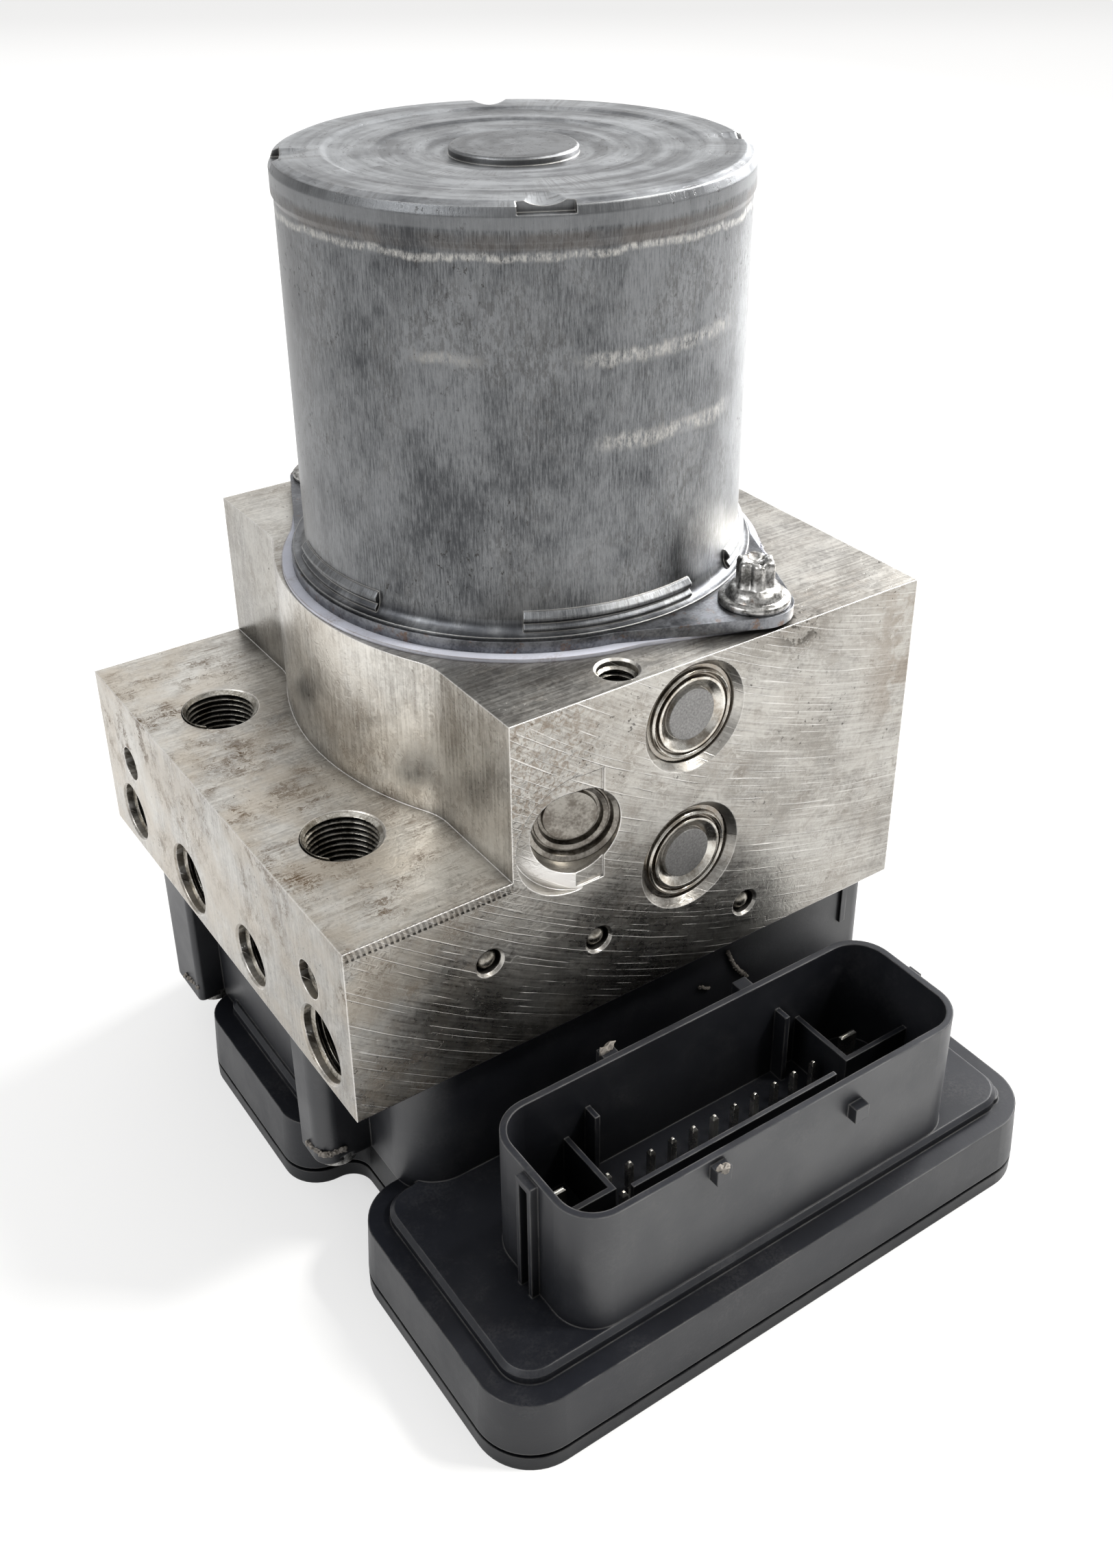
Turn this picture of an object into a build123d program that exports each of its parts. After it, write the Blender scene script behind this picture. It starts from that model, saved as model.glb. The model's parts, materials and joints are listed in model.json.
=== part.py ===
from build123d import *
import os
from math import asin, cos, degrees, hypot, radians, sin, sqrt

# Electro-hydraulic brake control module: an aluminium valve block with a pump motor on top
# and a plastic control unit below. All sizes are in millimetres.
# The origin is where the motor axis meets the underside of the control unit's cover.
# +Z runs up the motor axis, -X is the face with the four wheel ports,
# and -Y is the front, where the plugged bores and the connector are.

# Valve block
block_length = 102.0
block_width = 91.0
block_height = 55.7
block_bottom = 38.8            # height of the block's underside over the cover's underside
port_face_reach = 58.6         # motor axis to the wheel port face
step_length = 26.8             # length of the low part, at the port end
step_drop = 25.6               # top of the tall part to the top of the low part
bulge_radius = 51.0
bulge_reach = 6.8              # how far the bulge stands out of the tall part's wall
bulge_blend = 9.0

# Threaded ports and holes in the block
large_port_radius = 6.0        # M12x1
small_port_radius = 5.0        # M10x1
port_chamfer = 0.35
wheel_port_depth = 13.0
wheel_port_pitch = 23.5
wheel_port_rise = 6.7          # port axis above the block's underside
supply_port_depth = 14.0
supply_port_spread = 43.2      # distance between the two supply ports on the step
supply_port_inset = 12.6       # supply port axis from the port face
seat_radius = 1.75             # passage in the bottom of each port
mount_hole_radius = 3.0        # M6
mount_hole_depth = 12.0
mount_hole_spread = 67.0
mount_hole_rise = 17.6
top_hole_x = -11.0
top_hole_inset = 4.3           # from the front face
top_hole_depth = 6.0

# Plugged bores in the front and back faces
plug_chamfer = 1.1
pump_bore_radius = 8.0
pump_bore_depth = 10.0
pump_bore_drop = 9.6           # below the block's top
accumulator_bore_radius = 8.1
accumulator_bore_depth = 26.0
accumulator_bore_drop = 34.3
damper_bore_radius = 7.0
damper_bore_depth = 16.0       # along its own axis
damper_bore_slant = 20.0       # the bore runs inwards and away from the port end
damper_bore_drop = 21.7
damper_bore_x = -20.7
spot_face_radius = 9.9         # counterbore on the damper bore's axis
spot_face_depth = 0.25
relief_left = -21.0            # shallow milled relief across the damper bore's mouth
relief_right = -16.2
relief_top_drop = 12.1
relief_height = 19.0
relief_depth = 0.35
plug_gap = 0.05                # radial gap of a part seated in its bore
plug_recess = 0.9
damper_plug_recess = 4.6
ball_radius = 2.0
ball_seat_radius = 2.4
ball_seat_depth = 3.6
ball_places = ((-36.0, 37.8), (-17.0, 42.5), (11.6, 48.5))    # x and drop below the block's top
cross_drill_radius = 1.5
cross_drill_depth = 34.0

# Motor
motor_radius = 34.4
motor_height = 63.3            # top face of the casing above the block's top
casing_wall = 1.8
casing_edge_round = 1.7
casing_cap_reach = 0.35        # the casing's top end is this much wider
casing_cap_height = 5.0
button_radius = 9.35
moat_radius = 14.2
moat_depth = 1.15
ring_radii = (19.6, 27.0)      # shallow steps in the top face
ring_depth = 0.3
top_notch_width = 7.6
top_notch_depth = 1.5
top_notch_reach = 1.7
scoop_radius = 5.2             # soft hollow behind each notch
scoop_slope = 10.0
top_notch_angle = -116.0
foot_reach = 2.0               # the casing's foot flares out onto the flange
foot_thickness = 0.5
foot_round = 1.9
crimp_reach = 1.1              # formed arcs round the casing's foot
crimp_bottom = 3.0
crimp_height = 3.2
crimp_arcs = ((-100.4, 22.3), (-178.0, 18.2), (-37.6, 22.3), (40.0, 18.2))    # centre and half angle
gasket_thickness = 0.6
gasket_radius = 38.4
flange_thickness = 1.8
flange_radius = 36.7
bolt_circle = 42.4
bolt_angle = -69.0
bolt_thread_radius = 2.5
bolt_thread_depth = 11.0
bolt_head_radius = 3.05
bolt_head_height = 4.6
bolt_washer_radius = 5.4
bolt_washer_height = 1.6
torx_points = 6
ear_radius = 5.9

# Rotor and pump drive
shaft_radius = 4.0
eccentric_offset = 1.5
eccentric_radius = 6.0
eccentric_height = 9.0
eccentric_ring_wall = 2.5
chamber_radius = 14.0
chamber_depth = 20.0
bearing_radius = 7.5
bearing_height = 5.0
core_radius = 23.2
core_height = 30.0
core_slots = 11
air_gap = 0.7
magnet_count = 4
magnet_half_angle = 36.0
commutator_radius = 9.0
commutator_height = 7.0
brush_length = 9.0
brush_width = 6.0
brush_height = 5.0
carrier_thickness = 3.0
contact_bore_radius = 4.5
contact_inset = 10.4           # motor contacts from the casing's outside

# Pump elements and accumulators
piston_radius = 3.96
piston_length = 20.0
running_gap = 0.04
sleeve_wall = 1.9
sleeve_length = 20.0
accumulator_piston_length = 8.2
accumulator_end_gap = 0.3
accumulator_plug_length = 4.0
spring_wire = 0.45

# Solenoid valves
valve_pitch = 20.4
inlet_row_x = -22.0
outlet_row_x = 7.0
valve_bore_radius = 5.5
inlet_valve_depth = 17.0
outlet_valve_depth = 11.0
dome_radius = 3.2
dome_wall = 0.5
dome_length = 20.0
armature_gap = 0.08
armature_length = 13.0
armature_travel = 0.3
coil_radius = 9.6
coil_height = 20.5
yoke_wall = 1.0
coil_bore_gap = 0.25

# Control unit housing
unit_left = -57.6
unit_right = 45.9
unit_front = -82.7
back_border = 0.9              # coil box to the control unit's back
unit_corner = 9.0
unit_draft = 0.5               # the outer wall leans in by this much at its top
cover_thickness = 2.5
seam_height = 0.8
seam_inset = 1.1
border_height = 12.9
platform_rise = 2.0
platform_inset = 3.4
platform_corner = 6.5
platform_edge_round = 0.7
notch_near = 19.4              # screw notches in the outline, from the middle plane
notch_far = 35.6
notch_depth = 10.5
notch_round = 6.4
front_notch_round = 8.6
front_notch_inner_round = 1.8
notch_inner_round = 3.9
right_notch_far = 30.0
right_notch_depth = 11.6
right_notch_round = 4.8
unit_wall = 2.2
coil_box_left = -48.5
coil_box_right = 41.9
coil_box_half = 42.6
coil_box_corner = 7.5
coil_box_right_corner = 2.5
coil_rib_inset = 5.2           # small rib on the coil box's front wall
coil_rib_width = 1.2
coil_rib_height = 9.0
coil_box_wall = 2.0
coil_box_floor = 1.5
side_wall_left = -52.6         # wall between the two screw columns
column_left = -57.2
column_near = 19.7
column_far = 27.6
back_column_far = 32.0
column_corner = 3.0
seal_thickness = 0.8
seal_width = 1.4
unit_screw_radius = 1.9
unit_screw_length = 34.0
unit_screw_head_radius = 3.4
unit_screw_head_height = 2.4

# Connector
shroud_left = -43.1
shroud_right = 30.3
shroud_front = -78.0
shroud_back = -53.4
shroud_corner = 6.5
shroud_wall = 1.1
shroud_height = 22.0
socket_floor = 2.0             # above the platform
divider_thickness = 0.9
divider_inset = 12.7           # divider from the shroud's end
divider_reach = 11.7           # divider from the back wall
divider_rise = 11.2
key_insets = (17.7, 18.4)      # from the shroud's left and right ends
key_rise = 15.3
key_reach = 2.6
pin_pitch = 4.07
pin_columns = 11
pin_rows = 2
pin_side = 1.0
pin_tip_round = 0.3
pin_top = 23.2                 # height of the pin tips over the cover's underside
pin_first_row = -61.5
blade_width = 3.2
blade_thickness = 0.9
peg_size = 2.6
peg_reach = 1.7
back_peg_reach = 2.6
back_peg_rise = 20.1
guide_mid_y = -66.0            # ribs down the shroud's left end
guide_rib_reach = 1.3
guide_rib_thickness = 0.8
guide_rib_gap = 2.0
rail_left = -28.6              # low wall inside the shroud, in front of the pins
rail_right = 10.2
rail_y = -70.0
rail_thickness = 0.8
rail_rise = 14.7

# Circuit board
board_bottom = 6.2
board_thickness = 1.6
board_gap = 1.2

# Places worked out from the sizes above
half_width = block_width / 2
port_face = -port_face_reach
end_face = port_face + block_length
tall_face = port_face + step_length
block_top = block_bottom + block_height
step_top = block_top - step_drop
pump_z = block_top - pump_bore_drop
accumulator_z = block_top - accumulator_bore_drop
damper_z = block_top - damper_bore_drop
contact_bore_x = motor_radius - contact_inset
port_z = block_bottom + wheel_port_rise
port_ys = [(i - 1.5) * wheel_port_pitch for i in range(4)]
valve_ys = [(i - 1.5) * valve_pitch for i in range(4)]
supply_x = port_face + supply_port_inset
flange_bottom = block_top + gasket_thickness
flange_top = flange_bottom + flange_thickness
motor_top = block_top + motor_height
platform_top = border_height + platform_rise
coil_floor = platform_top + coil_box_floor
coil_box_top = block_bottom - seal_thickness
unit_back = coil_box_half + back_border
housing_bottom = cover_thickness + seam_height
screw_seat = platform_top - 1.4
shroud_top = platform_top + shroud_height
socket_bottom = platform_top + socket_floor
board_top = board_bottom + board_thickness
shroud_mid_x = (shroud_left + shroud_right) / 2
screw_y = (column_near + column_far) / 2
left_screw_x = (column_left + coil_box_left) / 2
right_screw_x = coil_box_right - unit_screw_head_radius - 0.4
over = 1.0                     # how far a cutter runs past the face it opens

facing_front = Rot(90, 0, 0)
facing_back = Rot(-90, 0, 0)
facing_port_end = Rot(0, -90, 0)


# Shapes used by many pieces

def block_of(x0, x1, y0, y1, z0, z1):
    return Pos((x0 + x1) / 2, (y0 + y1) / 2, (z0 + z1) / 2) * Box(abs(x1 - x0), abs(y1 - y0), abs(z1 - z0))


def post(x, y, z0, z1, radius):
    return Pos(x, y, (z0 + z1) / 2) * Cylinder(radius, abs(z1 - z0))


def tube(x, y, z0, z1, outer, inner):
    return post(x, y, z0, z1, outer) - post(x, y, z0 - over, z1 + over, inner)


def turned(points):
    # a closed outline of (radius, height) pairs, spun about the Z axis
    outline = Polyline(*[(r, 0, z) for r, z in points], close=True)
    return revolve(make_face(outline), Axis.Z)


def plan(points, radii):
    # a flat outline whose corners are rounded one by one
    face = make_face(Polyline(*points, close=True))
    for point, radius in zip(points, radii):
        if radius > 0:
            corner = min(face.vertices(), key=lambda v: hypot(v.X - point[0], v.Y - point[1]))
            face = fillet(corner, radius)
    return face


def slab(face, z0, z1):
    return extrude(Pos(0, 0, z0) * face, z1 - z0)


def rounded_plan(x0, x1, y0, y1, radius):
    return Pos((x0 + x1) / 2, (y0 + y1) / 2) * RectangleRounded(x1 - x0, y1 - y0, radius)


def sign(value):
    return (value > 0.001) - (value < -0.001)


def both_sides(place):
    # the same piece in the front face and in the back face
    return [place(-1), place(1)]


def spring(radius, wire, length, turns):
    rise = length - 2.1 * wire
    path = Helix(rise / turns, rise, radius)
    section = Plane(origin=path @ 0, z_dir=path % 0) * Circle(wire)
    return Pos(0, 0, 1.05 * wire) * sweep(section, path, is_frenet=True)


def save(shape, node):
    export_step(shape, f"parts/{node}.step")


os.makedirs("parts", exist_ok=True)


# Valve block

def port_cutter(radius, depth):
    # mouth at the origin, opening along +Z, with the passage in its bottom
    mouth = radius + port_chamfer
    bottom = -depth
    passage = bottom - 4.0
    return turned([(0, over), (mouth, over), (mouth, 0), (radius, -port_chamfer), (radius, bottom),
                   (seat_radius, bottom - (radius - seat_radius) * 0.6), (seat_radius, passage), (0, passage)])


def plug_cutter(radius, depth, inner_radius, inner_depth, edge=plug_chamfer):
    mouth = radius + edge
    return turned([(0, over), (mouth, over), (mouth, 0), (radius, -edge), (radius, -depth),
                   (inner_radius, -depth), (inner_radius, -inner_depth), (0, -inner_depth)])


def block_plan():
    tall = Pos((tall_face + end_face) / 2, 0) * Rectangle(end_face - tall_face, block_width)
    centre_x = tall_face - bulge_reach + bulge_radius
    band = Pos(tall_face, 0) * Rectangle(2 * bulge_reach + 2, block_width)
    face = tall + (Pos(centre_x, 0) * Circle(bulge_radius) & band)
    waist = [v for v in face.vertices() if abs(v.X - tall_face) < 0.01 and abs(v.Y) < half_width - 1]
    return fillet(waist, bulge_blend)


def damper_place(side):
    # the slanted damper bore's mouth in the front or back face, with +Z out of the bore
    turn = facing_front if side < 0 else facing_back
    return Pos(damper_bore_x, side * half_width, damper_z) * Rot(0, 0, side * damper_bore_slant) * turn


block = block_of(port_face, end_face, -half_width, half_width, block_bottom, step_top)
block += slab(block_plan(), step_top - over, block_top)
for index, y in enumerate(port_ys):
    radius = large_port_radius if index % 2 == 0 else small_port_radius
    block -= Pos(port_face, y, port_z) * facing_port_end * port_cutter(radius, wheel_port_depth)
    passage_start = port_face + wheel_port_depth
    block -= (Pos((passage_start + outlet_row_x) / 2, y, port_z) * Rot(0, 90, 0)
              * Cylinder(cross_drill_radius, outlet_row_x - passage_start))
for side in (-1, 1):
    supply_y = side * supply_port_spread / 2
    block -= Pos(supply_x, supply_y, step_top) * port_cutter(large_port_radius, supply_port_depth)
    hole_place = Pos(port_face, side * mount_hole_spread / 2, block_bottom + mount_hole_rise)
    block -= hole_place * facing_port_end * Pos(0, 0, -mount_hole_depth / 2 + over / 2) * Cylinder(
        mount_hole_radius, mount_hole_depth + over)
    turn = facing_front if side < 0 else facing_back
    sleeve_bore = piston_radius + running_gap + sleeve_wall + plug_gap
    block -= Pos(0, side * half_width, pump_z) * turn * plug_cutter(
        pump_bore_radius, pump_bore_depth, sleeve_bore, half_width - chamber_radius + over)
    block -= Pos(0, side * half_width, accumulator_z) * turn * plug_cutter(
        accumulator_bore_radius, accumulator_bore_depth, seat_radius, accumulator_bore_depth + 3)
    block -= damper_place(side) * post(0, 0, -damper_bore_depth, damper_bore_radius, damper_bore_radius)
    block -= damper_place(side) * post(0, 0, -damper_bore_depth - 3, 0, seat_radius)
    block -= damper_place(side) * post(0, 0, -spot_face_depth, damper_bore_depth, spot_face_radius)
    block -= block_of(relief_left, relief_right, side * (half_width - relief_depth), side * (half_width + over),
                      block_top - relief_top_drop - relief_height, block_top - relief_top_drop)
    for x, drop in ball_places:
        block -= Pos(x, side * half_width, block_top - drop) * turn * plug_cutter(
            ball_radius + plug_gap, ball_seat_depth, cross_drill_radius, cross_drill_depth,
            ball_seat_radius - ball_radius)
    bolt_x = -side * bolt_circle * cos(radians(bolt_angle))
    bolt_y = -side * bolt_circle * sin(radians(bolt_angle))
    block -= post(bolt_x, bolt_y, block_top - bolt_thread_depth, block_top + over, bolt_thread_radius)
    for screw_x in (left_screw_x, right_screw_x):
        block -= post(screw_x, side * screw_y, block_bottom - over, block_bottom + 12, unit_screw_radius)
for y in valve_ys:
    block -= post(inlet_row_x, y, block_bottom - over, block_bottom + inlet_valve_depth, valve_bore_radius)
    block -= post(outlet_row_x, y, block_bottom - over, block_bottom + outlet_valve_depth, valve_bore_radius)
block -= post(0, 0, block_top - chamber_depth, block_top + over, chamber_radius)
block -= post(contact_bore_x, 0, block_bottom - over, block_top + over, contact_bore_radius)
block -= Pos(top_hole_x, -half_width + top_hole_inset, block_top) * turned(
    [(0, over), (mount_hole_radius + port_chamfer, over), (mount_hole_radius + port_chamfer, 0),
     (mount_hole_radius, -port_chamfer), (mount_hole_radius, -top_hole_depth), (0, -top_hole_depth)])
save(block, "hydraulic_block")


# Plugs and balls that close the drillings

def plug_face(radius):
    # half outline of a plug's outer end: middle disc, cone, groove and rolled ring
    face = -plug_recess
    return [(0, face), (4.1, face), (4.2, face - 0.8), (5.7, face + 0.2), (6.1, face + 0.2), (6.2, face - 0.5),
            (6.5, face - 0.5), (6.6, face), (6.9, face + 0.25), (7.2, face), (7.3, face - 0.6), (radius, face - 0.6)]


def pump_plug(side):
    radius = pump_bore_radius - plug_gap
    shape = turned([*plug_face(radius), (radius, -9.0), (6.0, -9.0), (6.0, -10.0), (3.2, -10.0), (3.2, -6.5),
                    (0, -6.5)])
    return Pos(0, side * half_width, pump_z) * (facing_front if side < 0 else facing_back) * shape


def accumulator_plug(side):
    radius = accumulator_bore_radius - plug_gap
    inner = -plug_recess - accumulator_plug_length
    shape = turned([*plug_face(radius), (radius, inner), (7.0, inner), (7.0, inner + 2.0), (0, inner + 2.0)])
    return Pos(0, side * half_width, accumulator_z) * (facing_front if side < 0 else facing_back) * shape


def damper_plug(side):
    radius = damper_bore_radius - plug_gap
    face = -damper_plug_recess
    shape = turned([(0, face), (4.1, face), (4.2, face - 0.7), (4.7, face - 0.7), (4.9, face + 0.3),
                    (5.6, face + 0.5), (5.7, face + 0.1), (6.0, face + 0.1), (6.2, face + 1.2), (radius, face + 1.5),
                    (radius, face - 6.0), (5.2, face - 6.0), (5.2, face - 4.0), (0, face - 4.0)])
    return damper_place(side) * shape


def sealing_ball(x, drop, side):
    rest = ball_seat_depth - sqrt(ball_radius ** 2 - cross_drill_radius ** 2) - 0.03
    return Pos(x, side * (half_width - rest), block_top - drop) * Sphere(ball_radius)


save(Compound(both_sides(pump_plug)), "pump_plugs")
save(Compound(both_sides(accumulator_plug)), "accumulator_plugs")
save(Compound(both_sides(damper_plug)), "damper_plugs")
save(Compound([sealing_ball(x, drop, side) for x, drop in ball_places for side in (-1, 1)]), "sealing_balls")

# Motor mounting: gasket, flange and bolts
bolts = [(side * bolt_circle * cos(radians(bolt_angle)), side * bolt_circle * sin(radians(bolt_angle)))
         for side in (1, -1)]


def eared_plan(radius, ear):
    face = Circle(radius)
    for x, y in bolts:
        face += make_hull([*Circle(radius - 0.8).edges(), *(Pos(x, y) * Circle(ear)).edges()])
    return face


gasket = slab(eared_plan(gasket_radius, ear_radius - 1.2), block_top, flange_bottom)
gasket -= post(0, 0, block_top - over, flange_bottom + over, chamber_radius + 8)
gasket -= post(contact_bore_x, 0, block_top - over, flange_bottom + over, contact_bore_radius)
flange = slab(eared_plan(flange_radius, ear_radius), flange_bottom, flange_top)
flange -= post(0, 0, flange_bottom - over, flange_top + over, bearing_radius + plug_gap)
flange -= post(contact_bore_x, 0, flange_bottom - over, flange_top + over, contact_bore_radius)
for x, y in bolts:
    gasket -= post(x, y, block_top - over, flange_bottom + over, bolt_thread_radius + 0.3)
    flange -= post(x, y, flange_bottom - over, flange_top + over, bolt_thread_radius + 0.3)
save(gasket, "motor_gasket")
save(flange, "motor_flange")


def motor_bolt(x, y):
    shank = post(x, y, block_top - bolt_thread_depth + 1, flange_top, bolt_thread_radius - plug_gap)
    washer = Pos(x, y, flange_top) * turned(
        [(0, 0), (bolt_washer_radius, 0), (bolt_washer_radius, bolt_washer_height * 0.5),
         (bolt_head_radius + 0.5, bolt_washer_height), (0, bolt_washer_height)])
    star = Circle(bolt_head_radius)
    for i in range(torx_points):
        star -= PolarLocations(bolt_head_radius + 0.25, 1, 60 * i + 30).locations[0] * Circle(0.85)
    head_bottom = flange_top + bolt_washer_height - 0.2
    head = Pos(x, y) * slab(star, head_bottom, flange_top + bolt_washer_height + bolt_head_height - 0.6)
    return shank + washer + head


save(Compound([motor_bolt(x, y) for x, y in bolts]), "motor_bolts")

# Motor casing: a drawn cup with a seat for the upper bearing in its top
inner_radius = motor_radius - casing_wall
deck = motor_top - casing_wall
bearing_seat = bearing_radius + plug_gap
cap_radius = motor_radius + casing_cap_reach
cap_bottom = motor_top - casing_cap_height
edge_share = casing_edge_round * (1 - cos(radians(45)))
casing_outline = [
    (inner_radius, flange_top), (motor_radius + foot_reach, flange_top),
    (motor_radius + foot_reach, flange_top + foot_thickness), (motor_radius, flange_top + foot_thickness),
    (motor_radius, cap_bottom - 0.8), (cap_radius, cap_bottom), (cap_radius, motor_top - casing_edge_round),
    (cap_radius - edge_share, motor_top - edge_share), (cap_radius - casing_edge_round, motor_top),
    (ring_radii[1] + 0.4, motor_top), (ring_radii[1] - 0.4, motor_top - ring_depth),
    (ring_radii[0] + 0.4, motor_top - ring_depth), (ring_radii[0] - 0.4, motor_top - 2 * ring_depth),
    (moat_radius, motor_top - 2 * ring_depth), (button_radius + 1.1, motor_top - moat_depth),
    (button_radius, motor_top - moat_depth), (button_radius, motor_top - 0.3), (button_radius - 0.3, motor_top),
    (0, motor_top), (0, deck - 0.4), (bearing_seat, deck - 0.4), (bearing_seat, deck - 4.0),
    (bearing_seat + 1.5, deck - 4.0), (bearing_seat + 1.5, deck - moat_depth),
    (inner_radius - 1.0, deck - moat_depth), (inner_radius, deck - moat_depth - 1.0)]
casing = turned(casing_outline)
foot_edge = min(casing.edges().filter_by(GeomType.CIRCLE), key=lambda edge: hypot(
    edge.radius - motor_radius, edge.arc_center.Z - flange_top - foot_thickness))
casing = fillet(foot_edge, foot_round)
for i in range(4):
    angle = top_notch_angle + 90 * i
    casing -= Rot(0, 0, angle) * block_of(cap_radius - top_notch_reach, cap_radius + over,
                                          -top_notch_width / 2, top_notch_width / 2,
                                          motor_top - top_notch_depth, motor_top + over)
    casing -= (Rot(0, 0, angle) * Pos(cap_radius, 0, motor_top + scoop_radius - 1) * Rot(0, 90 + scoop_slope, 0)
               * Cylinder(scoop_radius, 16))
for centre, half in crimp_arcs:
    start = Rot(0, 0, centre - half)
    crest = motor_radius + crimp_reach
    outline = [(motor_radius - 0.5, 0), (crest - 0.5, 0), (crest, 0.4), (crest, 0.8), (crest - 0.6, 1.4),
               (crest - 0.1, 2.0), (crest - 0.1, 2.4), (crest - 0.8, crimp_height),
               (motor_radius - 0.5, crimp_height)]
    wall = make_face(Polyline(*[(r, 0, block_top + crimp_bottom + z) for r, z in outline], close=True))
    casing += start * revolve(wall, Axis.Z, 2 * half)
save(casing, "motor_casing")

# Rotor: shaft with its eccentric, laminated core, winding, commutator and bearings
lower_bearing_bottom = flange_bottom
upper_bearing_top = deck - 0.5
eccentric_bottom = pump_z - eccentric_height / 2
commutator_bottom = lower_bearing_bottom + bearing_height + 1.0
brush_bottom = commutator_bottom + (commutator_height - brush_height) / 2
core_bottom = commutator_bottom + commutator_height + 7.0
core_top = core_bottom + core_height
shaft = post(0, 0, eccentric_bottom, upper_bearing_top, shaft_radius)
shaft += post(eccentric_offset, 0, eccentric_bottom, eccentric_bottom + eccentric_height, eccentric_radius)
save(shaft, "motor_shaft")
ring_outer = eccentric_radius + plug_gap + eccentric_ring_wall
save(tube(eccentric_offset, 0, eccentric_bottom + 0.5, eccentric_bottom + eccentric_height - 0.5,
          ring_outer, eccentric_radius + plug_gap), "eccentric_bearing")


def ball_bearing(z0):
    inner = tube(0, 0, z0, z0 + bearing_height, shaft_radius + plug_gap + 1.0, shaft_radius + plug_gap)
    outer = tube(0, 0, z0, z0 + bearing_height, bearing_radius, bearing_radius - 1.0)
    cage = tube(0, 0, z0 + 0.5, z0 + bearing_height - 0.5, bearing_radius - 1.1, shaft_radius + plug_gap + 1.1)
    return Compound([inner, cage, outer])


save(ball_bearing(lower_bearing_bottom), "lower_motor_bearing")
save(ball_bearing(upper_bearing_top - bearing_height), "upper_motor_bearing")
core_plan = Circle(core_radius) - Circle(shaft_radius + plug_gap)
for i in range(core_slots):
    slot = Pos(core_radius - 4.5, 0) * Rectangle(9.0, 3.4) + Pos(core_radius - 9, 0) * Circle(1.7)
    core_plan -= Rot(0, 0, 360 / core_slots * i) * (slot - Pos(core_radius, 0) * Rectangle(2.4, 6))
    core_plan -= Rot(0, 0, 360 / core_slots * i) * Pos(core_radius, 0) * Rectangle(2.6, 1.4)
save(slab(core_plan, core_bottom, core_top), "rotor_core")
winding_outline = [(12.0, core_top), (20.6, core_top), (20.6, core_top + 3.0), (18.4, core_top + 5.0),
                   (13.6, core_top + 5.0), (12.0, core_top + 3.4)]
upper_winding = turned(winding_outline)
lower_winding = Pos(0, 0, core_bottom + core_top) * Rot(180, 0, 0) * upper_winding
save(Compound([upper_winding, lower_winding]), "rotor_winding")
save(tube(0, 0, commutator_bottom, commutator_bottom + commutator_height, commutator_radius,
          shaft_radius + plug_gap), "commutator")

# Field magnets, brush carrier, brushes and contacts
magnet_outer = inner_radius - plug_gap
magnet_inner = core_radius + air_gap
magnet_face = make_face(Polyline((magnet_inner, 0, core_bottom - 2), (magnet_outer, 0, core_bottom - 2),
                                 (magnet_outer, 0, core_top + 2), (magnet_inner, 0, core_top + 2), close=True))
magnets = [Rot(0, 0, 45 + 360 / magnet_count * i - magnet_half_angle)
           * revolve(magnet_face, Axis.Z, 2 * magnet_half_angle) for i in range(magnet_count)]
save(Compound(magnets), "motor_magnets")
carrier = tube(0, 0, flange_top, flange_top + carrier_thickness, inner_radius - plug_gap,
               bearing_radius + plug_gap)
brush_start = commutator_radius + 0.05
box_outer = brush_start + brush_length + 5
for side in (-1, 1):
    inner_x, outer_x = side * (brush_start + 1.5), side * box_outer
    half = brush_width / 2 + 1.2
    top = brush_bottom + brush_height + 1.2
    box = block_of(inner_x, outer_x, -half, half, flange_top, top)
    box -= block_of(inner_x - side * over, outer_x - side * 1.2, -half + 1.2 - plug_gap, half - 1.2 + plug_gap,
                    brush_bottom - plug_gap, brush_bottom + brush_height + plug_gap)
    carrier += Rot(0, 0, 90) * box
carrier -= post(contact_bore_x, 0, flange_top - over, flange_top + carrier_thickness + over, 2.5)
save(carrier, "brush_carrier")


def along_y(shape):
    return Rot(0, 0, 90) * shape


brush_halves = (-brush_width / 2, brush_width / 2)
brushes = [along_y(block_of(side * brush_start, side * (brush_start + brush_length), *brush_halves,
                            brush_bottom, brush_bottom + brush_height)) for side in (-1, 1)]
save(Compound(brushes), "motor_brushes")
brush_spring_start = brush_start + brush_length
brush_spring_length = box_outer - 1.2 - brush_spring_start
brush_springs = [Pos(0, side * brush_spring_start, brush_bottom + brush_height / 2)
                 * (facing_front if side < 0 else facing_back)
                 * spring(1.6, 0.25, brush_spring_length, 3) for side in (-1, 1)]
save(Compound(brush_springs), "brush_springs")
contact_top = flange_top + carrier_thickness
sleeve = tube(contact_bore_x, 0, board_top + 6, flange_top, 2.4, 1.6)
contacts = [block_of(contact_bore_x - 0.4 + dx, contact_bore_x + 0.4 + dx, -0.4, 0.4, board_bottom, contact_top)
            for dx in (-0.8, 0.8)]
save(sleeve, "contact_sleeve")
save(Compound(contacts), "motor_contacts")

# Pump elements: one on each side of the eccentric
piston_inner = eccentric_offset + ring_outer + 0.05
sleeve_outer_end = half_width - pump_bore_depth - 0.1
sleeve_radius = piston_radius + running_gap + sleeve_wall


def lying_tube(x, z, side, near, far, outer, inner=0.0):
    # a tube or rod along Y, from near to far, measured from the middle plane
    turn = facing_front if side < 0 else facing_back
    body = Cylinder(outer, far - near)
    if inner > 0:
        body -= Cylinder(inner, far - near + 2 * over)
    return Pos(x, side * (near + far) / 2, z) * turn * body


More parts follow.
